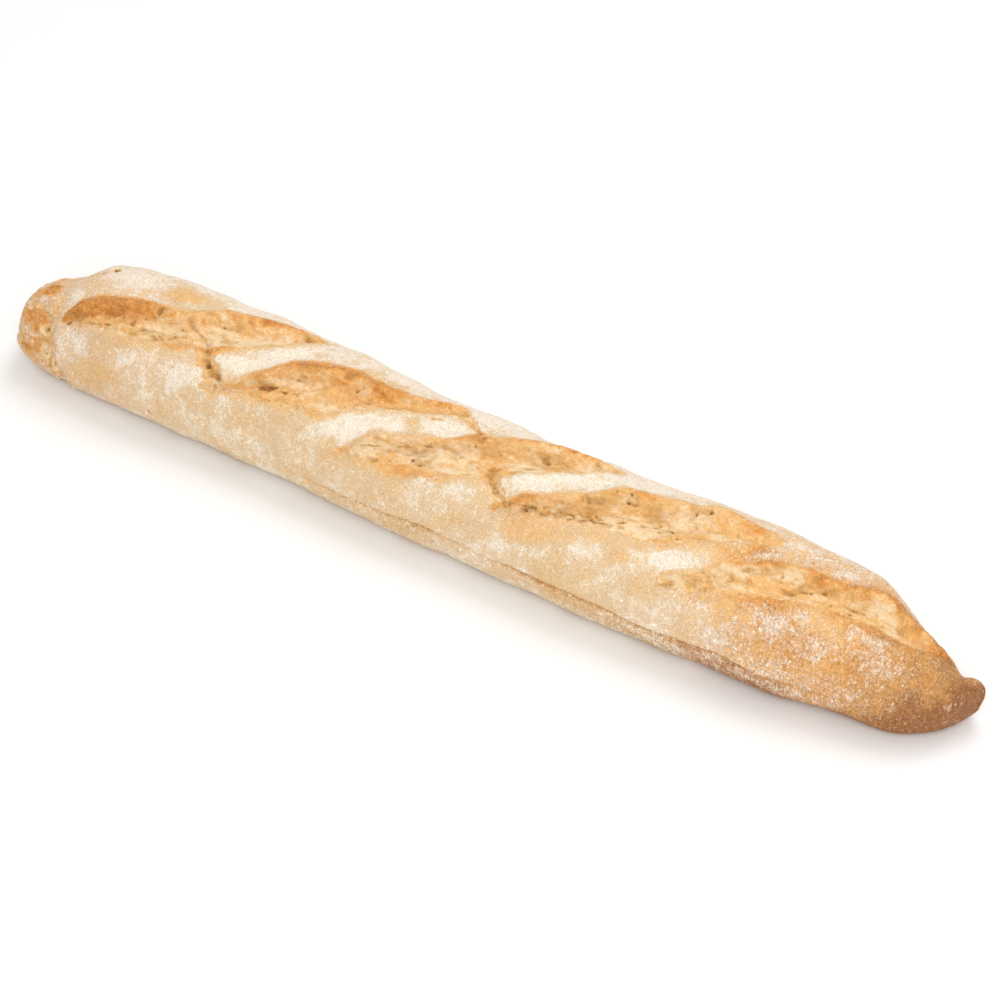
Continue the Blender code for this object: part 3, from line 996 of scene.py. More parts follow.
@dataclass(frozen=True)
class Heel:
    """The blunt end: on the near side the crust laps over a smaller creased cap."""

    fold: Points = (
        (-20, 0.037), (0, 0.033), (30, 0.032), (62, 0.033), (95, 0.021), (130, 0.020),
        (180, 0.026), (270, 0.034), (340, 0.037), (360, 0.033),
    )
    fold_strength: Points = (
        (0, 1.0), (32, 0.9), (55, 0.35), (85, 0.05), (130, 0.15), (200, 0.5), (320, 0.9), (360, 1.0),
    )
    fold_width: float = 2.4 * MM
    fold_depth: float = 2.2 * MM
    lap_height: float = 0.9 * MM
    lap_reach: float = 14 * MM
    crease_turns: tuple[float, ...] = (17, 49, 150, 230)
    crease_turn_width: float = 4
    crease_depth: float = 0.8 * MM
    wrinkle_size: float = 8 * MM
    wrinkle_height: float = 1.2 * MM
    strand_turns_rise: Range = (-30, -10)
    strand_turns_fall: Range = (30, 40)
    strand_width: float = 10 * MM
    strand_size: float = 2.6 * MM
    strand_height: float = 0.8 * MM
    very_end: float = 6 * MM
    wander_size: float = 7 * MM
    fine_size: float = 2.2 * MM
    rosy_end: Range = (0.060, 0.110)
    grain: Grain = Grain(14)

    def fold_over(self, skin: Skin) -> None:
        """Folds and creases the heel, bares the stretched strands in the fold with painted shade in the fold
        and between them, and bakes the cap.

        Args:
            skin: The crust, whose relief and layers are changed.
        """
        wander = self.grain.layered(skin.places, self.wander_size, 3)
        fine = self.grain.layered(skin.places + 0.3, self.fine_size, 3)
        behind = skin.station - curve(self.fold, skin.degrees) + 1.3 * MM * wander + 0.4 * MM * fine
        creases = self._crease(skin, behind, wander, fine)
        stretched, threads = self._draw_strands(skin, behind, fine)
        cap = 1 - step(-2.5 * MM, 1.5 * MM, behind + 2 * MM * wander)
        heat = 0.56 + 0.34 * wander - 0.12 * fine + 0.16 * creases
        skin.toast = np.maximum(skin.toast, cap * heat * (1 - 0.8 * stretched))
        skin.bake = np.maximum(skin.bake, cap * (0.10 + 0.04 * creases - 0.2 * wander))
        skin.flour = blend(skin.flour, 0.38 - 0.45 * wander - 0.25 * creases + 0.2 * fine, cap)
        skin.flour *= 1 - 0.7 * stretched
        skin.crumb = np.maximum(skin.crumb, 0.9 * step(0.35, 0.7, stretched))
        strength = curve(self.fold_strength, skin.degrees)
        # painted shade in the fold and between the drawn strands
        skin.hollow_shade = np.maximum(skin.hollow_shade, 0.3 * strength * peak(-1 * MM, 1 * MM, behind))
        skin.hollow_shade = np.maximum(skin.hollow_shade, stretched * np.clip(0.45 - 0.5 * threads, 0, 1))
        rosy = 1 - step(*self.rosy_end, skin.station + 14 * MM * wander)
        skin.tone = np.maximum(skin.tone, 0.8 * rosy * (1 - 0.7 * stretched))
        skin.flour -= 0.14 * rosy * (1 - cap)

    def _crease(self, skin: Skin, behind: Array, wander: Array, fine: Array) -> Array:
        """Sinks the fold, raises the lap over it and creases the cap.

        Args:
            skin: The crust, whose relief is changed.
            behind: Distance behind the fold, towards the tip.
            wander: A slow pattern.
            fine: A fine pattern.

        Returns:
            How deep in a crease each point lies.
        """
        strength = curve(self.fold_strength, skin.degrees)
        groove = strength * peak(0, self.fold_width, behind)
        lap = strength * step(0, self.fold_width, behind)
        lap = lap * (1 - step(self.fold_width, self.lap_reach, behind))
        on_cap = (1 - step(-self.fold_width, 0, behind)) * step(0, self.very_end, skin.station)
        width = self.crease_turn_width
        creases = sum(peak(turn + 9 * wander + 3 * fine, width, skin.degrees) for turn in self.crease_turns)
        creases *= step(-0.5, 0.2, fine + 0.5 * wander)
        wrinkles = 1 - 2 * np.abs(self.grain.layered(skin.places * (1, 1.6, 1.6), self.wrinkle_size, 4))
        skin.relief += self.lap_height * lap - self.fold_depth * groove
        skin.relief += on_cap * (self.wrinkle_height * (wrinkles - 0.5) - self.crease_depth * creases)
        return creases

    def _draw_strands(self, skin: Skin, behind: Array, fine: Array) -> tuple[Array, Array]:
        """Draws out the strands in the fold.

        Args:
            skin: The crust, whose relief is changed.
            behind: Distance behind the fold, towards the tip.
            fine: A fine pattern.

        Returns:
            Where the crust is stretched, and the ridges of its strands.
        """
        turns = np.where(skin.degrees > 180, skin.degrees - 360, skin.degrees)
        beside = step(*self.strand_turns_rise, turns) * (1 - step(*self.strand_turns_fall, turns))
        stretched = beside * step(-self.strand_width, -0.6 * self.strand_width, behind + 1.2 * MM * fine)
        stretched *= 1 - step(-1.2 * MM, 0.2 * MM, behind)
        threads = 1 - 2 * np.abs(self.grain.smooth(skin.places * (1, 0.45, 0.45), self.strand_size))
        skin.relief += stretched * self.strand_height * threads
        return stretched, threads


@dataclass(frozen=True)
class Foot:
    """The pressed underside and the crease that the tray leaves along both sides above it."""

    crease_heights: Points = (
        (0.10, 16 * MM), (0.209, 17.5 * MM), (0.256, 20.5 * MM), (0.306, 19.5 * MM), (0.330, 20.5 * MM),
        (0.372, 17.5 * MM), (0.412, 20 * MM), (0.433, 17.5 * MM), (0.445, 18 * MM), (0.520, 15 * MM),
    )
    crease_strength: Points = (
        (0.16, 0.0), (0.22, 0.7), (0.262, 0.8), (0.285, 0.35), (0.308, 1.0), (0.43, 1.0), (0.450, 0.5),
        (0.47, 0.0),
    )
    crease_depth: float = 1.6 * MM
    crease_width: float = 1.0 * MM
    ledge_height: float = 0.6 * MM
    ledge_peak: Range = (-2.6 * MM, 1.6 * MM)
    low_heights: Range = (2 * MM, 13 * MM)
    below_crease: Range = (-1.5 * MM, 1.0 * MM)
    under_rise: Range = (190, 215)
    under_fall: Range = (325, 350)
    browner_towards_tip: Range = (0.32, 0.45)
    wander_size: float = 10 * MM
    far_share: float = 0.7
    grain: Grain = Grain(15)

    def press(self, skin: Skin) -> None:
        """Creases the sides, darkens the foot with real browning and painted shade, and paints shade in the
        crease.

        Args:
            skin: The crust, whose relief, bake and flour are changed.
        """
        wander = self.grain.layered(skin.places, self.wander_size, 3)
        height = skin.places[:, 2]
        above = height - curve(self.crease_heights, skin.station) + 0.4 * MM * wander
        strength = curve(self.crease_strength, skin.station)
        share = blend(self.far_share, 1.0, skin.near)
        groove = share * strength * peak(0, self.crease_width, above)
        ledge = share * strength * peak(*self.ledge_peak, above)
        skin.relief += self.ledge_height * ledge - self.crease_depth * groove
        low = 1 - step(*self.low_heights, height + 2 * MM * wander)
        below = strength * (1 - step(*self.below_crease, above))
        under = step(*self.under_rise, skin.degrees) * (1 - step(*self.under_fall, skin.degrees))
        towards_tip = step(*self.browner_towards_tip, skin.station)
        # darker low down and underneath: partly real browning, partly painted shade on the underside turned
        # from the light
        foot_bake_and_shade = (0.36 + 0.55 * towards_tip) * low + 0.14 * under + 0.16 * wander * low
        skin.bake = np.maximum(skin.bake, foot_bake_and_shade)
        # painted shade in the crease
        skin.bake = np.maximum(skin.bake, 0.62 * groove)
        skin.bake = np.maximum(skin.bake, (0.20 + 0.20 * wander + 0.95 * towards_tip) * below)
        foot_flour = 0.68 + 0.35 * wander - 0.62 * towards_tip
        skin.flour = blend(skin.flour, foot_flour, np.maximum(0.8 * low, under))
        skin.flour *= 1 - 0.5 * groove


@dataclass(frozen=True)
class CrustSurface:
    """The crust between the scores: slow swells, lumps, blisters and where flour and heat lie.

    Attributes:
        swells: Each wave's height, its waves along and round the loaf, and its phase.
        lumps: Each lump's station and turn, its half length, half width and height in mm.
    """

    swells: tuple[tuple[float, float, float, float], ...] = (
        (0.25 * MM, 5.0, 2.0, 0.7), (0.25 * MM, 11.0, 3.0, 2.1), (0.15 * MM, 19.0, 5.0, 4.0),
    )
    lumps: tuple[tuple[float, float, float, float, float], ...] = (
        (0.041, 120, 6, 6, 1.5), (0.028, 113, 9, 12, -1.6), (0.016, 327, 14, 11, -1.4),
        (0.160, 135, 14, 14, -1.0), (0.230, 138, 18, 14, -1.4), (0.256, 145, 10, 12, 0.2),
        (0.296, 133, 20, 14, -2.4), (0.345, 138, 22, 14, -1.6), (0.424, 140, 18, 14, -1.6),
        (0.480, 125, 14, 18, -1.0), (0.507, 143, 5, 9, -2.4), (0.042, 328, 16, 8, 0.6),
        (0.460, 327, 24, 8, -1.2),
    )
    blister_size: float = 2.4 * MM
    blister_height: float = 0.13 * MM
    dimple_size: float = 11 * MM
    dimple_height: float = 0.35 * MM
    slow_size: float = 34 * MM
    patch_size: float = 12 * MM
    crease_size: float = 2.4 * MM
    far_rise: Range = (100, 135)
    far_fall: Range = (185, 215)
    tip_stations: Range = (0.345, 0.445)
    very_tip_stations: Range = (0.450, 0.515)
    grain: Grain = Grain(16)

    def swell(self, skin: Skin) -> None:
        """Raises the slow swells and lumps.

        Args:
            skin: The crust, whose relief is changed.
        """
        turn = np.radians(skin.degrees)
        for height, along, around, phase in self.swells:
            wave = 2 * np.pi * along * skin.station / LOAF_LENGTH + around * turn + phase
            skin.relief += height * np.sin(wave)
        for centre, degrees, half_length, half_width, height in self.lumps:
            along = (skin.station - centre) / (half_length * MM)
            across = (skin.degrees - degrees) * skin.arc / (half_width * MM)
            skin.relief += height * MM * np.exp(-(along * along + across * across))

    def blister(self, skin: Skin) -> None:
        """Raises small blisters and sinks shallow dimples all over the crust.

        Args:
            skin: The crust, whose relief is changed.
        """
        crust = 1 - skin.crumb
        near, _, owner = self.grain.cells(skin.places, self.blister_size)
        dome = 1 - np.clip(near / 0.6, 0, 1) ** 2
        uneven = self.grain.layered(skin.places, self.dimple_size, 4)
        blisters = self.blister_height * dome * (0.6 + 0.6 * owner)
        skin.relief += crust * (blisters + self.dimple_height * uneven)

    def dust_and_bake(self, skin: Skin) -> None:
        """Lays the flour and the heat's browning before anything is cut.

        Args:
            skin: The crust, whose flour, bake, toast and tone are set.
        """
        slow = self.grain.layered(skin.places, self.slow_size, 3)
        patch = self.grain.layered(skin.places + 0.4, self.patch_size, 4)
        creased = self.grain.layered(skin.places * (0.3, 1.2, 1.2) + 0.9, self.crease_size, 2)
        far = step(*self.far_rise, skin.degrees) * (1 - step(*self.far_fall, skin.degrees))
        near_side = 0.60 + 0.18 * slow + 0.26 * patch
        far_side = 0.96 + 0.14 * slow + 0.14 * patch + 0.20 * creased
        flour = blend(near_side, far_side, far)
        tip = step(*self.tip_stations, skin.station + 12 * MM * slow) * (1 - 0.35 * far)
        very_tip = step(*self.very_tip_stations, skin.station)
        skin.flour = blend(flour, 0.50 + 0.28 * patch - 0.36 * very_tip, tip)
        skin.bake = tip * (0.18 + 0.26 * patch) + 0.54 * very_tip
        skin.toast = np.clip(tip * (0.72 + 0.60 * very_tip + 0.34 * patch), 0, 1.15)
        skin.tone = np.maximum(0.7 * far, 0.9 * tip)


@dataclass(frozen=True)
class Patch:
    """A patch of the crust that the flour or the heat has marked.

    Attributes:
        station: Distance from the heel in metres.
        turn: Turn round the section in degrees.
        half_length: Half its length along its slant, in mm.
        half_width: Half its width, in mm.
        flour: How much more flour lies on it.
        toast: How golden or orange it is.
        bake: How brown it is.
        slant: How far it climbs from the loaf's length, in degrees.
    """

    station: float
    turn: float
    half_length: float
    half_width: float
    flour: float = 0.0
    toast: float = 0.0
    bake: float = 0.0
    slant: float = 18


@dataclass(frozen=True)
class PatchSet:
    """The thick dustings, drips and rubbed golden places on the crust."""

    raggedness: float = 2.4 * MM
    ragged_size: float = 5 * MM
    squareness: float = 1.3
    most_flour: float = 1.1
    grain: Grain = Grain(18)
    patches: tuple[Patch, ...] = (
        # flour lying thick on the bridges between the scores, the last of them golden
        Patch(0.139, 59, 11, 4.5, 0.45), Patch(0.156, 86, 16, 3.5, 0.35),
        Patch(0.205, 50, 9, 5, 0.40, slant=30), Patch(0.220, 64, 9, 3.5, 0.30),
        Patch(0.243, 86, 8, 3.5, 0.45), Patch(0.299, 67, 13, 4.5, 0.50), Patch(0.322, 90, 13, 4, 0.40),
        Patch(0.366, 45, 8, 4, 0.34), Patch(0.381, 54, 8, 3.5, 0.42), Patch(0.374, 50, 7, 5, 0.12),
        Patch(0.402, 75, 14, 5, -0.34, 0.22),
        # flour and drips of it on the near side
        Patch(0.110, 33, 8, 5, 0.42), Patch(0.106, 22, 5, 0.9, 0.40, slant=96),
        Patch(0.113, 17, 5, 0.9, 0.40, slant=92), Patch(0.082, 31, 9, 4, 0.25),
        Patch(0.195, 42, 8, 4, 0.40), Patch(0.195, 30, 4, 0.9, 0.40, slant=95),
        Patch(0.297, 17, 6, 4, 0.25), Patch(0.316, 22, 7, 4, 0.28), Patch(0.337, 33, 9, 4.5, 0.35),
        Patch(0.358, 31, 8, 4, 0.32), Patch(0.398, 30, 9, 4, 0.20), Patch(0.045, 22, 10, 8, 0.20),
        # flour above the first score, on the far side and round the tip
        Patch(0.038, 64, 3, 2.5, 0.55), Patch(0.250, 128, 14, 5, 0.35), Patch(0.345, 108, 14, 5, 0.35),
        Patch(0.415, 112, 14, 5, 0.05), Patch(0.450, 108, 12, 5, 0.12), Patch(0.443, 54, 7, 3, 0.24),
        Patch(0.483, 48, 10, 6, 0.14), Patch(0.048, 104, 9, 6, 0.30), Patch(0.467, 61, 8, 3, 0.30),
        Patch(0.510, 27, 2.4, 2.4, 0.60), Patch(0.511, 354, 2.4, 2.2, 0.60), Patch(0.470, 5, 6, 4, 0.20),
        # golden places, where the flour is rubbed off
        Patch(0.085, 100, 24, 6, -0.40, 0.42, slant=22), Patch(0.124, 60, 6, 4, -0.30, 0.15),
        Patch(0.072, 12, 12, 6, -0.22, 0.22), Patch(0.145, 17, 11, 5, -0.20, 0.20),
        Patch(0.205, 26, 9, 4, -0.25, 0.26), Patch(0.231, 76, 5, 4, -0.45, 0.30),
        Patch(0.265, 14, 12, 5, -0.15, 0.20), Patch(0.328, 21, 7, 4, -0.15, 0.16),
        Patch(0.356, 40, 8, 3, -0.30, 0.30), Patch(0.368, 25, 8, 5, -0.15, 0.18),
        Patch(0.205, 110, 12, 4, -0.35, 0.34), Patch(0.020, 84, 6, 5, -0.40, 0.55),
        Patch(0.499, 58, 8, 6, -0.30, 0.35, -0.10), Patch(0.507, 72, 6, 5, -0.30, 0.35),
        Patch(0.470, 34, 9, 5, -0.10, 0.12), Patch(0.459, 20, 10, 5, -0.10, 0.10),
        Patch(0.414, 42, 14, 6, -0.16, 0.24), Patch(0.437, 24, 14, 9, -0.10, 0.12, 0.10),
        Patch(0.410, 90, 6, 3, -0.20, 0.40),
        # walls of the scores that the heat caught
        Patch(0.047, 54, 10, 6, 0.0, 0.90, 0.26, slant=30), Patch(0.062, 62, 18, 8, 0.0, 0.78, 0.06),
        Patch(0.088, 70, 14, 6, 0.0, 0.35), Patch(0.156, 108, 10, 3, 0.0, 0.35),
        Patch(0.263, 96, 6, 5, 0.0, 0.60), Patch(0.150, 58, 6, 3.5, 0.0, 0.35),
        Patch(0.178, 86, 22, 6, 0.0, 0.45), Patch(0.207, 96, 14, 5, 0.0, 0.40),
        Patch(0.304, 58, 12, 4, 0.0, 0.25), Patch(0.460, 108, 20, 4, 0.0, 0.20),
        Patch(0.500, 98, 9, 8, 0.0, 0.60, 0.08),
        # brown places low on the tip and on the nib, and golden ones low on the heel and the side
        Patch(0.516, 48, 5, 6, -0.25, 0.40, 0.34), Patch(0.482, 344, 26, 6, -0.15, 0.25, 0.38),
        Patch(0.503, 338, 14, 7, -0.26, 0.35, 0.60), Patch(0.514, 345, 7, 7, -0.25, 0.35, 0.35),
        Patch(0.480, 8, 26, 9, -0.10, 0.20, 0.12), Patch(0.498, 20, 8, 7, -0.15, 0.20, 0.22),
        Patch(0.040, 348, 10, 5, -0.15, 0.20), Patch(0.060, 2, 16, 8, -0.20, 0.22),
        Patch(0.245, 351, 16, 3, -0.10, 0.18, 0.10), Patch(0.309, 352, 16, 3, -0.10, 0.18, 0.10),
    )

    def lay(self, skin: Skin) -> None:
        """Marks the patches. No flour lies on the crumb.

        Args:
            skin: The crust, whose flour, toast and bake are changed.
        """
        pull_along = self.raggedness * self.grain.layered(skin.places, self.ragged_size, 4)
        pull_around = self.raggedness * self.grain.layered(skin.places + 0.6, self.ragged_size, 4)
        for patch in self.patches:
            degrees = (skin.degrees - patch.turn + 180) % 360 - 180
            along = skin.station - patch.station + pull_along
            around = degrees * skin.arc + pull_around
            half_sizes = (patch.half_length * MM, patch.half_width * MM)
            share = slanted_spot(along, around, patch.slant, half_sizes, self.squareness)
            skin.flour += patch.flour * share * (1 - skin.crumb)
            skin.toast += patch.toast * share
            skin.bake += patch.bake * share
        skin.flour = np.clip(skin.flour, 0, self.most_flour)


# --------------------------------------------------------------------------- finishes


class Feature(Enum):
    """What a cell pattern measures."""

    CENTRES = "F1"
    EDGES = "DISTANCE_TO_EDGE"


class Graph:
    """Lays out the nodes of one material."""

    def __init__(self, name: str) -> None:
        """Makes the material.

        Args:
            name: The material's name.
        """
        self.material = bpy.data.materials.new(name)
        self.material.use_nodes = True
        self.tree = self.material.node_tree
        self.shader = self.tree.nodes["Principled BSDF"]
        self.places = self.tree.nodes.new("ShaderNodeTexCoord").outputs["Object"]

    def link(self, value: Value, socket: Socket) -> None:
        """Links an output to a socket, or sets the socket to a plain value.

        Args:
            value: The output or the plain value.
            socket: The socket.
        """
        if isinstance(value, Socket):
            self.tree.links.new(value, socket)
        else:
            socket.default_value = value

    def layer(self, name: str) -> Socket:
        """Reads one of the skin's layers.

        Args:
            name: The layer's name.

        Returns:
            Its value.
        """
        node = self.tree.nodes.new("ShaderNodeAttribute")
        node.attribute_type = "GEOMETRY"
        node.attribute_name = name
        return node.outputs["Fac"]

    def stretched(self, turn: float, along: float, across: float) -> Socket:
        """Stretches the places that a pattern is read at.

        Args:
            turn: How far the stretch is turned from the loaf's length, in degrees.
            along: How much smaller the pattern is along it.
            across: How much smaller it is across it.

        Returns:
            The stretched places.
        """
        node = self.tree.nodes.new("ShaderNodeMapping")
        node.inputs["Rotation"].default_value = (0, 0, -math.radians(turn))
        node.inputs["Scale"].default_value = (along, across, across)
        self.link(self.places, node.inputs["Vector"])
        return node.outputs["Vector"]

    def noise(
        self,
        size: float,
        detail: float = 3,
        roughness: float = 0.6,
        warp: float = 0,
        places: Socket | None = None,
    ) -> Socket:
        """Adds soft noise, centred on 0.

        Args:
            size: The size of its lumps.
            detail: How many finer layers it has.
            roughness: How strong these are.
            warp: How far it is distorted.
            places: Where it is read, if not at the plain places.

        Returns:
            A value from -0.5 to 0.5.
        """
        node = self.tree.nodes.new("ShaderNodeTexNoise")
        node.inputs["Scale"].default_value = 1 / size
        node.inputs["Detail"].default_value = detail
        node.inputs["Roughness"].default_value = roughness
        node.inputs["Distortion"].default_value = warp
        self.link(places or self.places, node.inputs["Vector"])
        return self.less(node.outputs["Fac"], 0.5)

    def flakes(self, size: float, warp: float, narrow: float = 1.0) -> tuple[Socket, Socket]:
        """Adds a pattern of flakes with cracks between them.

        Args:
            size: The size of the flakes.
            warp: How far noise bends them, over their size.
            narrow: How much narrower they are along the loaf than round it.

        Returns:
            The distance to the nearest crack, over the size, and a random value for each flake.
        """
        bend = self.tree.nodes.new("ShaderNodeTexNoise")
        bend.inputs["Scale"].default_value = 0.8 / size
        bend.inputs["Detail"].default_value = 2
        self.link(self.places, bend.inputs["Vector"])
        add = self.tree.nodes.new("ShaderNodeVectorMath")
        add.operation = "MULTIPLY_ADD"
        self.link(bend.outputs["Color"], add.inputs[0])
        add.inputs[1].default_value = (warp * size,) * 3
        narrowed = self.tree.nodes.new("ShaderNodeVectorMath")
        narrowed.operation = "MULTIPLY"
        self.link(self.places, narrowed.inputs[0])
        narrowed.inputs[1].default_value = (narrow**0.5, narrow**-0.5, narrow**-0.5)
        self.link(narrowed.outputs[0], add.inputs[2])
        found = []
        for feature, output in ((Feature.EDGES, "Distance"), (Feature.CENTRES, "Color")):
            node = self.tree.nodes.new("ShaderNodeTexVoronoi")
            node.feature = feature.value
            node.inputs["Scale"].default_value = 1 / size
            self.link(add.outputs[0], node.inputs["Vector"])
            found.append(node.outputs[output])
        split = self.tree.nodes.new("ShaderNodeSeparateColor")
        self.link(found[1], split.inputs[0])
        return found[0], split.outputs[0]

    def maths(self, operation: str, first: Value, second: Value) -> Socket:
        """Adds one step of arithmetic.

        Args:
            operation: Blender's name for it.
            first: The first value.
            second: The second value.

        Returns:
            The result.
        """
        node = self.tree.nodes.new("ShaderNodeMath")
        node.operation = operation
        self.link(first, node.inputs[0])
        self.link(second, node.inputs[1])
        return node.outputs[0]

    def times(self, first: Value, second: Value) -> Socket:
        """Multiplies two values."""
        return self.maths("MULTIPLY", first, second)

    def less(self, first: Value, second: Value) -> Socket:
        """Takes the second value from the first."""
        return self.maths("SUBTRACT", first, second)

    def sum(self, first: Value, *parts: tuple[Value, Value]) -> Socket:
        """Adds weighted parts to a value.

        Args:
            first: The value.
            parts: Each part and its weight.

        Returns:
            The sum.
        """
        total = first
        for part, weight in parts:
            added = part if weight == 1 else self.times(part, weight)
            total = self.maths("ADD", total, added)
        return total

    def rise(self, value: Value, start: float, end: float, top: float = 1.0) -> Socket:
        """Rises smoothly from 0 at start to the top value at end.

        Args:
            value: The value that is read.
            start: Where the rise begins.
            end: Where it ends.
            top: The value past the end.

        Returns:
            A value from 0 to top.
        """
        node = self.tree.nodes.new("ShaderNodeMapRange")
        node.interpolation_type = "SMOOTHSTEP"
        self.link(value, node.inputs["Value"])
        node.inputs["From Min"].default_value = start
        node.inputs["From Max"].default_value = end
        node.inputs["To Min"].default_value = 0
        node.inputs["To Max"].default_value = top
        return node.outputs["Result"]

    def sparse(self, value: Socket) -> Socket:
        """Leaves only the strong spots of a value, the low ones weaker than the high ones."""
        size = self.maths("ABSOLUTE", value, 0)
        return self.times(size, self.sum(self.times(value, 0.7), (size, 0.3)))

    def mix(self, share: Value, first: Paint, second: Paint) -> Socket:
        """Mixes two colours.

        Args:
            share: 0 for the first colour, 1 for the second.
            first: A colour or an output.
            second: A colour or an output.

        Returns:
            The mixed colour.
        """
        node = self.tree.nodes.new("ShaderNodeMix")
        node.data_type = "RGBA"
        self.link(share, node.inputs["Factor"])
        colours = [socket for socket in node.inputs if socket.type == "RGBA"]
        for value, socket in zip((first, second), colours):
            self.link((*value, 1.0) if isinstance(value, tuple) else value, socket)
        return [socket for socket in node.outputs if socket.type == "RGBA"][0]

    def scale(self, colour: Socket, factor: Socket) -> Socket:
        """Makes a colour lighter or darker by a factor.

        Args:
            colour: The colour.
            factor: The factor.

        Returns:
            The changed colour.
        """
        node = self.tree.nodes.new("ShaderNodeVectorMath")
        node.operation = "SCALE"
        self.link(colour, node.inputs[0])
        self.link(factor, node.inputs["Scale"])
        return node.outputs[0]

    def lift(self, colour: Socket, amount: Socket) -> Socket:
        """Makes a colour lighter or darker by an amount of grey.

        Args:
            colour: The colour.
            amount: The amount.

        Returns:
            The changed colour.
        """
        node = self.tree.nodes.new("ShaderNodeVectorMath")
        node.operation = "ADD"
        self.link(colour, node.inputs[0])
        self.link(amount, node.inputs[1])
        return node.outputs[0]

    def bump(self, height: Socket, distance: float, strength: float) -> None:
        """Roughens the surface.

        Args:
            height: The height from 0 to 1.
            distance: How high 1 is.
            strength: The share of the effect.
        """
        node = self.tree.nodes.new("ShaderNodeBump")
        node.inputs["Distance"].default_value = distance
        node.inputs["Strength"].default_value = strength
        self.link(height, node.inputs["Height"])
        self.link(node.outputs["Normal"], self.shader.inputs["Normal"])


class CrustPatterns:
    """The skin's layers and the patterns in it, as all parts of the crust's finish read them."""

    def __init__(self, graph: Graph) -> None:
        """Lays out the layers and the patterns.

        Args:
            graph: The material's nodes.
        """
        self.crumb = graph.layer("crumb")
        self.toast = graph.layer("toast")
        self.hollow_shade = graph.layer("hollow_shade")
        self.flour = graph.layer("flour")
        self.bake = graph.layer("bake")
        self.tone = graph.layer("tone")

        self.patches = graph.noise(11 * MM)
        self.clouds = graph.noise(4.0 * MM)
        self.blots = graph.noise(2.2 * MM, 2)
        self.specks = graph.noise(1.3 * MM, 2, 0.65)
        self.grit = graph.noise(0.55 * MM, 2, 0.7)
        self.webs = graph.noise(3.0 * MM, 4, 0.65, 0.4, graph.stretched(20, 0.5, 1.0))
        self.crinkles = graph.noise(2.0 * MM, 3, 0.65, 0.3, graph.stretched(0, 1.7, 0.6))
        self.drips = graph.noise(6.0 * MM, 2, 0.5, 0.2, graph.stretched(0, 1.5, 0.4))
        self.browned = graph.rise(graph.sum(self.bake, (self.tone, 0.20)), 0.0, 0.50)

        fine_gap, fine_luck = graph.flakes(1.3 * MM, 1.3)
        wide_gap, wide_luck = graph.flakes(2.1 * MM, 1.2, 2.6)
        here = graph.rise(graph.sum(self.clouds, (self.specks, 0.4), (self.browned, 0.12)), -0.12, 0.10)
        self.fine_crack = graph.less(1, graph.rise(fine_gap, 0.02, 0.22))
        self.wide_crack = graph.times(graph.less(1, graph.rise(wide_gap, 0.01, 0.15)), here)
        self.luck = graph.less(graph.sum(graph.times(fine_luck, 0.6), (wide_luck, 0.4)), 0.5)
        self.toasting = graph.sum(self.toast, (self.patches, 0.3), (self.clouds, 1), (self.blots, 0.3))


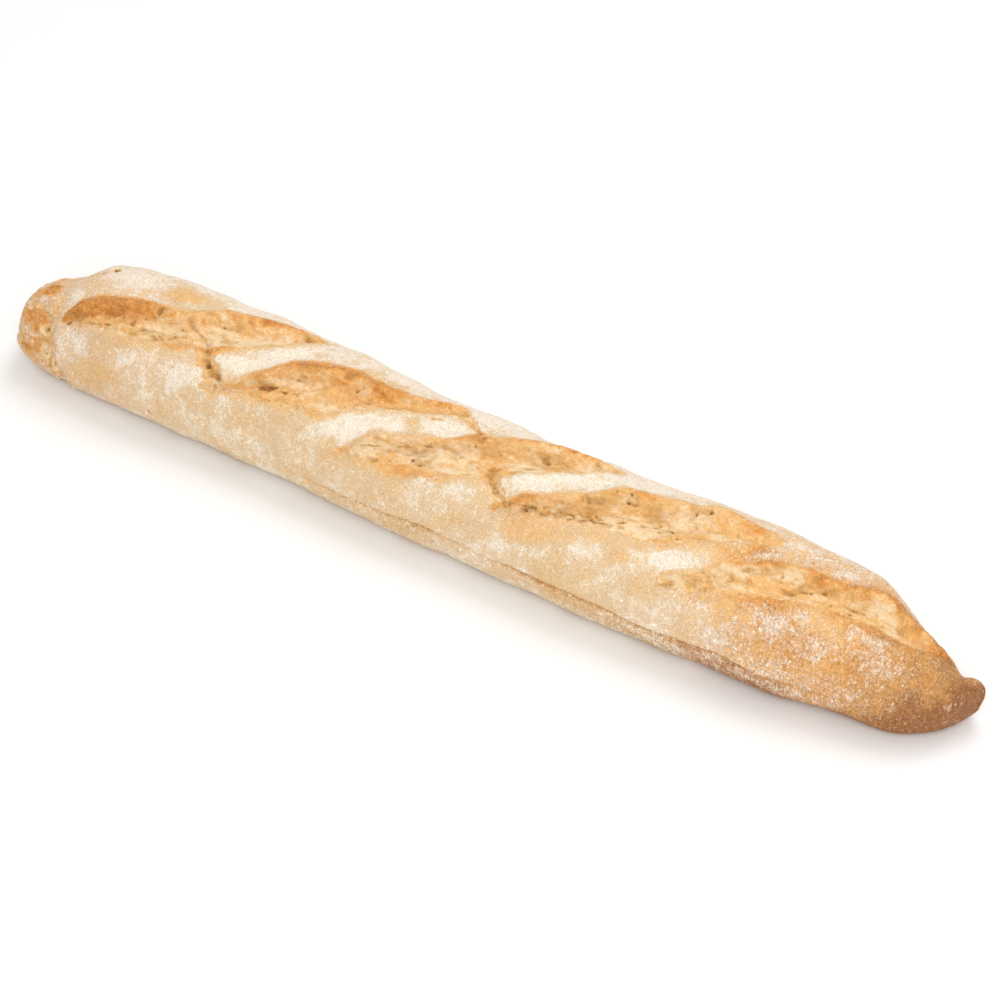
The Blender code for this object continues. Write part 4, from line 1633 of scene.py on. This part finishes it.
@dataclass(frozen=True)
class CrustFinish:
    """Baked crust, laid-open crumb and the flour over both."""

    pale: Colour = (0.77, 0.53, 0.30)
    gold: Colour = (0.80, 0.455, 0.155)
    gilt: Colour = (0.86, 0.50, 0.19)
    orange: Colour = (0.76, 0.335, 0.075)
    ember: Colour = (0.50, 0.175, 0.034)
    tan: Colour = (0.64, 0.325, 0.105)
    brown: Colour = (0.36, 0.135, 0.036)
    veil: Colour = (0.86, 0.68, 0.46)
    rose: Colour = (0.88, 0.66, 0.48)
    peach: Colour = (0.88, 0.62, 0.405)
    flour: Colour = (0.97, 0.865, 0.72)
    cream: Colour = (0.88, 0.66, 0.405)
    honey: Colour = (0.80, 0.465, 0.175)
    # shade is painted shade in the crumb's dips and bubbles, and pit painted shadow deep in its slits and
    # holes
    shade: Colour = (0.60, 0.33, 0.10)
    pit: Colour = (0.34, 0.145, 0.035)
    blush: Colour = (0.90, 0.72, 0.56)
    roughness: float = 0.86
    toasted_shine: float = 0.25
    specular: float = 0.35
    glow: float = 0.10
    glow_depth: float = 1.2 * MM
    glow_spread: tuple[float, float, float] = (1.0, 0.6, 0.3)
    roughened: float = 0.6 * MM
    roughening: float = 0.9

    def _baked(self, graph: Graph, skin: CrustPatterns) -> Socket:
        """Colours the bare crust: pale, golden in patches, orange, tan and brown where the heat caught it.

        Args:
            graph: The material's nodes.
            skin: The skin's layers and patterns.

        Returns:
            The crust's colour.
        """
        golden = graph.sum(0.45, (skin.patches, 2.2), (skin.clouds, 2.8), (skin.blots, 1.9))
        golden = graph.sum(golden, (skin.drips, 0.8))
        crust = graph.mix(graph.rise(golden, 0.0, 1.0), self.pale, self.gold)
        crust = graph.mix(graph.rise(skin.toasting, 0.0, 0.52), crust, self.gilt)
        crust = graph.mix(graph.rise(skin.toasting, 0.38, 0.90), crust, self.orange)
        crust = graph.mix(graph.rise(skin.toasting, 0.80, 1.30), crust, self.ember)
        baking = graph.sum(skin.bake, (skin.clouds, 0.5), (skin.blots, 0.3), (skin.crinkles, 0.4))
        crust = graph.mix(graph.rise(baking, 0.05, 0.60, 0.85), crust, self.tan)
        return graph.mix(graph.rise(baking, 0.45, 1.05), crust, self.brown)

    def _floured(self, graph: Graph, skin: CrustPatterns, crust: Socket) -> Socket:
        """Lays flour over the crust: a thin veil that has cracked with it, and thick flakes over that.

        Args:
            graph: The material's nodes.
            skin: The skin's layers and patterns.
            crust: The bare crust's colour.

        Returns:
            The floury crust's colour.
        """
        browned = skin.browned
        thick = graph.sum(skin.flour, (skin.patches, 0.50), (skin.drips, 0.45), (skin.clouds, 1.3))
        thick = graph.sum(thick, (graph.times(skin.crinkles, browned), 0.9))
        rosy = graph.times(skin.tone, browned)

        film = graph.mix(rosy, graph.mix(skin.tone, self.veil, self.rose), self.peach)
        speckled = graph.sum(0.25, (browned, 0.35))
        veiling = graph.sum(thick, (skin.blots, 0.8), (skin.specks, speckled), (skin.luck, 0.08))
        split = graph.sum(0.06, (browned, 0.10))
        cracked = graph.sum(graph.times(skin.fine_crack, 0.05), (skin.wide_crack, split))
        veiled = graph.less(graph.rise(veiling, 0.0, 0.90, 0.92), cracked)
        crust = graph.mix(graph.maths("MAXIMUM", veiled, 0), crust, film)

        speckled = graph.sum(0.34, (browned, 0.50))
        flaking = graph.sum(0.16, (browned, 0.10))
        level = graph.sum(thick, (skin.blots, 0.7), (skin.specks, speckled), (skin.luck, flaking))
        level = graph.sum(level, (skin.grit, graph.times(browned, 0.45)))
        split = graph.sum(0.14, (graph.rise(level, 0.80, 1.30), 0.44))
        cracked = graph.sum(graph.times(skin.fine_crack, 0.06), (skin.wide_crack, split))
        flaked = graph.less(graph.rise(level, 0.48, 1.05, 0.94), cracked)
        return graph.mix(graph.maths("MAXIMUM", flaked, 0), crust, graph.mix(rosy, self.flour, self.blush))

    def _torn(self, graph: Graph, skin: CrustPatterns) -> Socket:
        """Colours the crumb: cream strands, golden membranes, painted shade in its bubbles and dips, painted
        shadow in its slits.

        Args:
            graph: The material's nodes.
            skin: The skin's layers and patterns.

        Returns:
            The crumb's colour.
        """
        # webs also lift the crumb's bump: where they dip it is painted more golden, more orange and darker, a
        # painted shade, and creamier on their crests, a painted highlight
        honeyed = graph.sum(skin.tone, (skin.webs, -1.5), (skin.clouds, 1.2), (skin.blots, 0.6))
        caught = graph.sum(skin.toasting, (skin.webs, -0.9))
        inner = graph.mix(graph.rise(honeyed, 0.10, 0.95), self.cream, self.honey)
        inner = graph.mix(graph.rise(caught, 0.0, 0.60, 0.7), inner, self.gilt)
        inner = graph.mix(graph.rise(caught, 0.40, 0.95), inner, self.orange)
        inner = graph.mix(graph.rise(caught, 0.80, 1.30), inner, self.ember)
        # painted shade from the skin's layer, deeper where the webs dip
        sunk_shade = graph.sum(skin.hollow_shade, (skin.webs, -1.0), (skin.blots, 0.4), (skin.specks, 0.5))
        sunk_shade = graph.sum(sunk_shade, (skin.grit, 0.2))
        inner = graph.mix(graph.rise(sunk_shade, 0.05, 0.60, 0.75), inner, self.shade)
        return graph.mix(graph.rise(sunk_shade, 0.50, 0.95), inner, self.pit)

    def _grained(self, graph: Graph, skin: CrustPatterns, colour: Socket, torn: Socket) -> Socket:
        """Lays fine grey grain over all of it, and darker cracks where the crust baked hard.

        Args:
            graph: The material's nodes.
            skin: The skin's layers and patterns.
            colour: The colour without grain.
            torn: 1 where the crumb is laid open.

        Returns:
            The colour with its grain.
        """
        fine_dark = graph.sum(0.11, (skin.browned, 0.03))
        wide_dark = graph.sum(0.09, (skin.browned, 0.08))
        cracking = graph.sum(graph.times(skin.fine_crack, fine_dark), (skin.wide_crack, wide_dark))
        grain = graph.sum(graph.times(graph.sparse(skin.specks), 5.5), (graph.sparse(skin.grit), 4.5))
        grain = graph.times(grain, graph.sum(1.1, (skin.browned, 0.7)))
        shading = graph.less(graph.sum(0.975, (grain, 0.63)), graph.times(cracking, graph.less(1, torn)))
        return graph.lift(graph.scale(colour, shading), graph.times(grain, 0.20))

    def material(self) -> bpy.types.Material:
        """Builds the loaf's material.

        Returns:
            The material, which reads the skin's layers.
        """
        graph = Graph("crust")
        skin = CrustPatterns(graph)
        crust = self._floured(graph, skin, self._baked(graph, skin))
        inner = self._torn(graph, skin)
        torn = graph.rise(graph.sum(skin.crumb, (skin.grit, 0.6), (skin.specks, 0.4)), 0.35, 0.65)
        colour = self._grained(graph, skin, graph.mix(torn, crust, inner), torn)
        sockets = graph.shader.inputs
        graph.link(colour, sockets["Base Color"])
        shine = graph.times(skin.toast, self.toasted_shine)
        graph.link(graph.less(self.roughness, shine), sockets["Roughness"])
        sockets["Specular IOR Level"].default_value = self.specular
        sockets["Subsurface Weight"].default_value = self.glow
        sockets["Subsurface Radius"].default_value = self.glow_spread
        sockets["Subsurface Scale"].default_value = self.glow_depth
        rough = graph.sum(skin.specks, (skin.grit, 0.5), (skin.fine_crack, -0.16), (skin.wide_crack, -0.20))
        membranes = graph.times(skin.webs, 2.4)
        graph.bump(graph.sum(rough, (membranes, torn)), self.roughened, self.roughening)
        return graph.material


@dataclass(frozen=True)
class FloorFinish:
    """A plain pale studio floor."""

    colour: Colour = (0.90, 0.895, 0.885)
    darker_share: float = 0.985
    cloud_size: float = 0.6
    roughness: float = 0.9
    specular: float = 0.1

    def material(self) -> bpy.types.Material:
        """Builds the floor's material.

        Returns:
            The material.
        """
        graph = Graph("pale_floor")
        uneven = graph.maths("ADD", graph.noise(self.cloud_size, 2), 0.5)
        darker = tuple(self.darker_share * part for part in self.colour)
        graph.link(graph.mix(uneven, self.colour, darker), graph.shader.inputs["Base Color"])
        graph.shader.inputs["Roughness"].default_value = self.roughness
        graph.shader.inputs["Specular IOR Level"].default_value = self.specular
        return graph.material


# --------------------------------------------------------------------------- pieces


def deselect_all() -> None:
    """Deselects every object, so that an operator acts only on what comes next."""
    for thing in bpy.context.scene.objects:
        thing.select_set(False)


@dataclass(frozen=True)
class Loaf:
    """The whole loaf: a fine sphere drawn out to the loaf and worked all over."""

    DENSITY_STEPS = 4000

    form: LoafForm = LoafForm()
    surface: CrustSurface = CrustSurface()
    scores: ScoreCutter = ScoreCutter()
    tears: TearSet = TearSet()
    bubbles: BubbleSet = BubbleSet()
    crumb: CrumbTexture = CrumbTexture()
    heel: Heel = Heel()
    foot: Foot = Foot()
    patches: PatchSet = PatchSet()
    finish: CrustFinish = CrustFinish()
    rings: int = 225
    sides: int = 75
    halvings: int = 2
    most_triangles: int = 196000
    end_fade: float = 12 * MM
    end_rings: float = 7
    end_rings_length: float = 4 * MM
    top_sides: float = 2.2
    flank_sides: float = 0.8
    margin: float = 1e-6

    def _spread(self, share: Array, density: Array, start: float, end: float) -> Array:
        """Spreads even shares over a range, closer together where the density is high.

        Args:
            share: Even shares from 0 to 1.
            density: Density at even steps over the range.
            start: The range's start.
            end: Its end.

        Returns:
            The places of the shares.
        """
        places = np.linspace(start, end, len(density))
        reached = np.concatenate([[0], np.cumsum((density[1:] + density[:-1]) / 2)])
        return np.interp(share, reached / reached[-1], places)

    def _stations(self, share: Array) -> Array:
        """Spreads the mesh's rings along the loaf, closer at its ends.

        Args:
            share: Even shares from 0 to 1.

        Returns:
            Their stations.
        """
        along = np.linspace(0, self.form.length, self.DENSITY_STEPS)
        ends = np.exp(-along / self.end_rings_length)
        ends = ends + np.exp(-(self.form.length - along) / self.end_rings_length)
        return self._spread(share, 1 + self.end_rings * ends, self.margin, self.form.length - self.margin)

    def _turns(self, share: Array) -> Array:
        """Spreads the mesh's sides round the loaf, closer on the scored top.

        Args:
            share: Even shares from 0 to 1.

        Returns:
            Their turns in degrees.
        """
        around = np.linspace(0, 360, self.DENSITY_STEPS)
        top = step(5, 25, around) * (1 - step(135, 155, around))
        flank = step(330, 350, around) + 1 - step(15, 30, around)
        return self._spread(share, 1 + self.top_sides * top + self.flank_sides * flank, 0, 360)

    def skin(self, sphere: Array) -> tuple[Skin, Array]:
        """Works out the loaf's surface over the points of a unit sphere.

        Args:
            sphere: The sphere's points, one a row, whose Z runs along the loaf.

        Returns:
            The worked skin, and its points in the loaf's frame.
        """
        across, upright, along = sphere.T
        station = self._stations(1 - np.arccos(np.clip(along, -1, 1)) / np.pi)
        around = np.mod(np.arctan2(upright, -across), 2 * np.pi) / (2 * np.pi)
        degrees = self._turns(around)
        turn = np.radians(degrees)
        smooth = self.form.radius(station, turn)
        round_radius = (1 - self.form.belly_share) * self.form.crown_height(station)
        skin = Skin(
            station=station,
            degrees=degrees,
            arc=np.radians(1) * np.maximum(round_radius, 1 * MM),
            places=self.form.place(station, turn, smooth),
        )
        self.surface.dust_and_bake(skin)
        self.surface.swell(skin)
        self.scores.open(skin)
        self.tears.open(skin)
        self.heel.fold_over(skin)
        self.foot.press(skin)
        self.patches.lay(skin)
        self.crumb.open(skin)
        self.bubbles.burst(skin)
        self.surface.blister(skin)
        ends = step(0, self.end_fade, station) * step(0, self.end_fade, self.form.length - station)
        radius = smooth + skin.relief * ends + self.form.beak(station, turn)
        points = self.form.place(station, np.radians(degrees - skin.overhang * ends), radius)
        return skin, points

    def build(self) -> bpy.types.Object:
        """Models the loaf and dresses it.

        Returns:
            The finished piece.
        """
        loaf = self._fine_sphere("crusty_loaf")
        mesh = loaf.data
        sphere = np.empty(len(mesh.vertices) * 3, np.float32)
        mesh.vertices.foreach_get("co", sphere)
        sphere = sphere.reshape(-1, 3).astype(float)
        skin, points = self.skin(sphere / np.linalg.norm(sphere, axis=1)[:, None])
        self._set_down(points)
        mesh.vertices.foreach_set("co", points.astype(np.float32).ravel())
        for layer in Skin.PAINTED:
            attribute = mesh.attributes.new(layer, "FLOAT", "POINT")
            attribute.data.foreach_set("value", np.clip(getattr(skin, layer), 0, 1).astype(np.float32))
        mesh.update()
        bpy.ops.object.shade_smooth()
        self._thin_out(loaf)
        mesh.materials.append(self.finish.material())
        return loaf

    def _fine_sphere(self, name: str) -> bpy.types.Object:
        """Adds the sphere that the loaf is drawn out of.

        Args:
            name: The piece's name.

        Returns:
            The sphere.
        """
        deselect_all()
        bpy.ops.mesh.primitive_uv_sphere_add(segments=self.sides, ring_count=self.rings, radius=1.0)
        sphere = bpy.context.object
        sphere.name = name
        sphere.data.name = name
        finer = sphere.modifiers.new("finer", "SUBSURF")
        finer.subdivision_type = "SIMPLE"
        finer.levels = self.halvings
        finer.render_levels = self.halvings
        bpy.ops.object.modifier_apply(modifier=finer.name)
        return sphere

    def _set_down(self, points: Array) -> None:
        """Moves the loaf's points to the solid's place in the frame.

        Args:
            points: The loaf's points, one a row, which are changed.
        """
        low, high = (np.array(corner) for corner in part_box("loaf"))
        middle = (low + high) / 2
        points[:, 0] += low[0]
        points[:, 1] += middle[1] - (points[:, 1].min() + points[:, 1].max()) / 2
        points[:, 2] += low[2] - points[:, 2].min()

    def _thin_out(self, loaf: bpy.types.Object) -> None:
        """Takes out the triangles that flat crust doesn't need.

        Args:
            loaf: The piece.
        """
        triangles = sum(len(polygon.vertices) - 2 for polygon in loaf.data.polygons)
        thinning = loaf.modifiers.new("thinning", "DECIMATE")
        thinning.ratio = self.most_triangles / triangles
        bpy.ops.object.modifier_apply(modifier=thinning.name)


@dataclass(frozen=True)
class Studio:
    """A plain pale floor, soft light all round and the camera."""

    floor_size: float = 12.0
    camera_turn: float = 31.57
    camera_rise: float = 42.0
    camera_distance: float = 1.40
    camera_target: tuple[float, float, float] = (17.2 * MM, -6.6 * MM, 25 * MM)
    lens: float = 108.73
    sensor_width: float = 36.0
    surround: float = 0.72
    overhead_place: tuple[float, float, float] = (0.35, 0.45, 1.30)
    overhead_size: float = 0.8
    overhead_power: float = 7.0
    front_place: tuple[float, float, float] = (0.0, -1.10, 1.00)
    front_size: float = 0.9
    front_power: float = 9.0
    finish: FloorFinish = FloorFinish()

    def build(self) -> None:
        """Sets up the floor, the light and the camera."""
        self._lay_floor()
        self._light()
        self._aim_camera()

    def _lay_floor(self) -> None:
        """Lays the floor under the loaf."""
        deselect_all()
        bpy.ops.mesh.primitive_plane_add(size=self.floor_size, location=(0, 0, 0))
        floor = bpy.context.object
        floor.name = "studio_floor"
        floor.data.materials.append(self.finish.material())

    def _towards_camera(self) -> Vector:
        """Finds the direction from the loaf to the camera.

        Returns:
            A direction of length 1.
        """
        turn = math.radians(self.camera_turn)
        rise = math.radians(self.camera_rise)
        return Vector((math.sin(turn) * math.cos(rise), -math.cos(turn) * math.cos(rise), math.sin(rise)))

    def _softbox(self, name: str, place: tuple[float, float, float], size: float, power: float) -> None:
        """Hangs a square softbox that faces the loaf.

        Args:
            name: The light's name.
            place: How far right of, behind and above the loaf it hangs, seen from the camera.
            size: The length of its sides.
            power: Its power in watts.
        """
        turn = math.radians(self.camera_turn)
        right = Vector((math.cos(turn), math.sin(turn), 0))
        behind = Vector((-math.sin(turn), math.cos(turn), 0))
        spot = right * place[0] + behind * place[1] + Vector((0, 0, place[2]))
        lamp = bpy.data.lights.new(name, "AREA")
        lamp.shape = "SQUARE"
        lamp.size = size
        lamp.energy = power
        softbox = bpy.data.objects.new(name, lamp)
        softbox.location = spot
        softbox.rotation_euler = (-spot).to_track_quat("-Z", "Y").to_euler()
        bpy.context.scene.collection.objects.link(softbox)

    def _light(self) -> None:
        """Lights the loaf from all round, and more from above and from the front."""
        world = bpy.data.worlds.new("studio")
        world.use_nodes = True
        sky = world.node_tree.nodes["Background"]
        sky.inputs["Color"].default_value = (1.0, 1.0, 1.0, 1.0)
        sky.inputs["Strength"].default_value = self.surround
        bpy.context.scene.world = world
        self._softbox("overhead", self.overhead_place, self.overhead_size, self.overhead_power)
        self._softbox("front", self.front_place, self.front_size, self.front_power)
        bpy.context.scene.view_settings.view_transform = "Standard"

    def _aim_camera(self) -> None:
        """Sets the camera at the loaf's three-quarter view from above."""
        back = self._towards_camera()
        camera = bpy.data.objects.new("camera", bpy.data.cameras.new("camera"))
        camera.data.lens = self.lens
        camera.data.sensor_width = self.sensor_width
        camera.location = Vector(self.camera_target) + back * self.camera_distance
        camera.rotation_euler = (-back).to_track_quat("-Z", "Y").to_euler()
        bpy.context.scene.collection.objects.link(camera)
        bpy.context.scene.camera = camera


def main() -> None:
    """Builds the loaf and the studio, and reports each piece."""
    logging.basicConfig(level=logging.INFO, format="%(name)s: %(message)s")
    loaf = Loaf().build()
    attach(loaf, "root")
    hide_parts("loaf")
    log.info("%s: %d points, %d faces", loaf.name, len(loaf.data.vertices), len(loaf.data.polygons))
    Studio().build()
    log.info("studio: floor, light and camera")


if __name__ == "__main__":
    main()
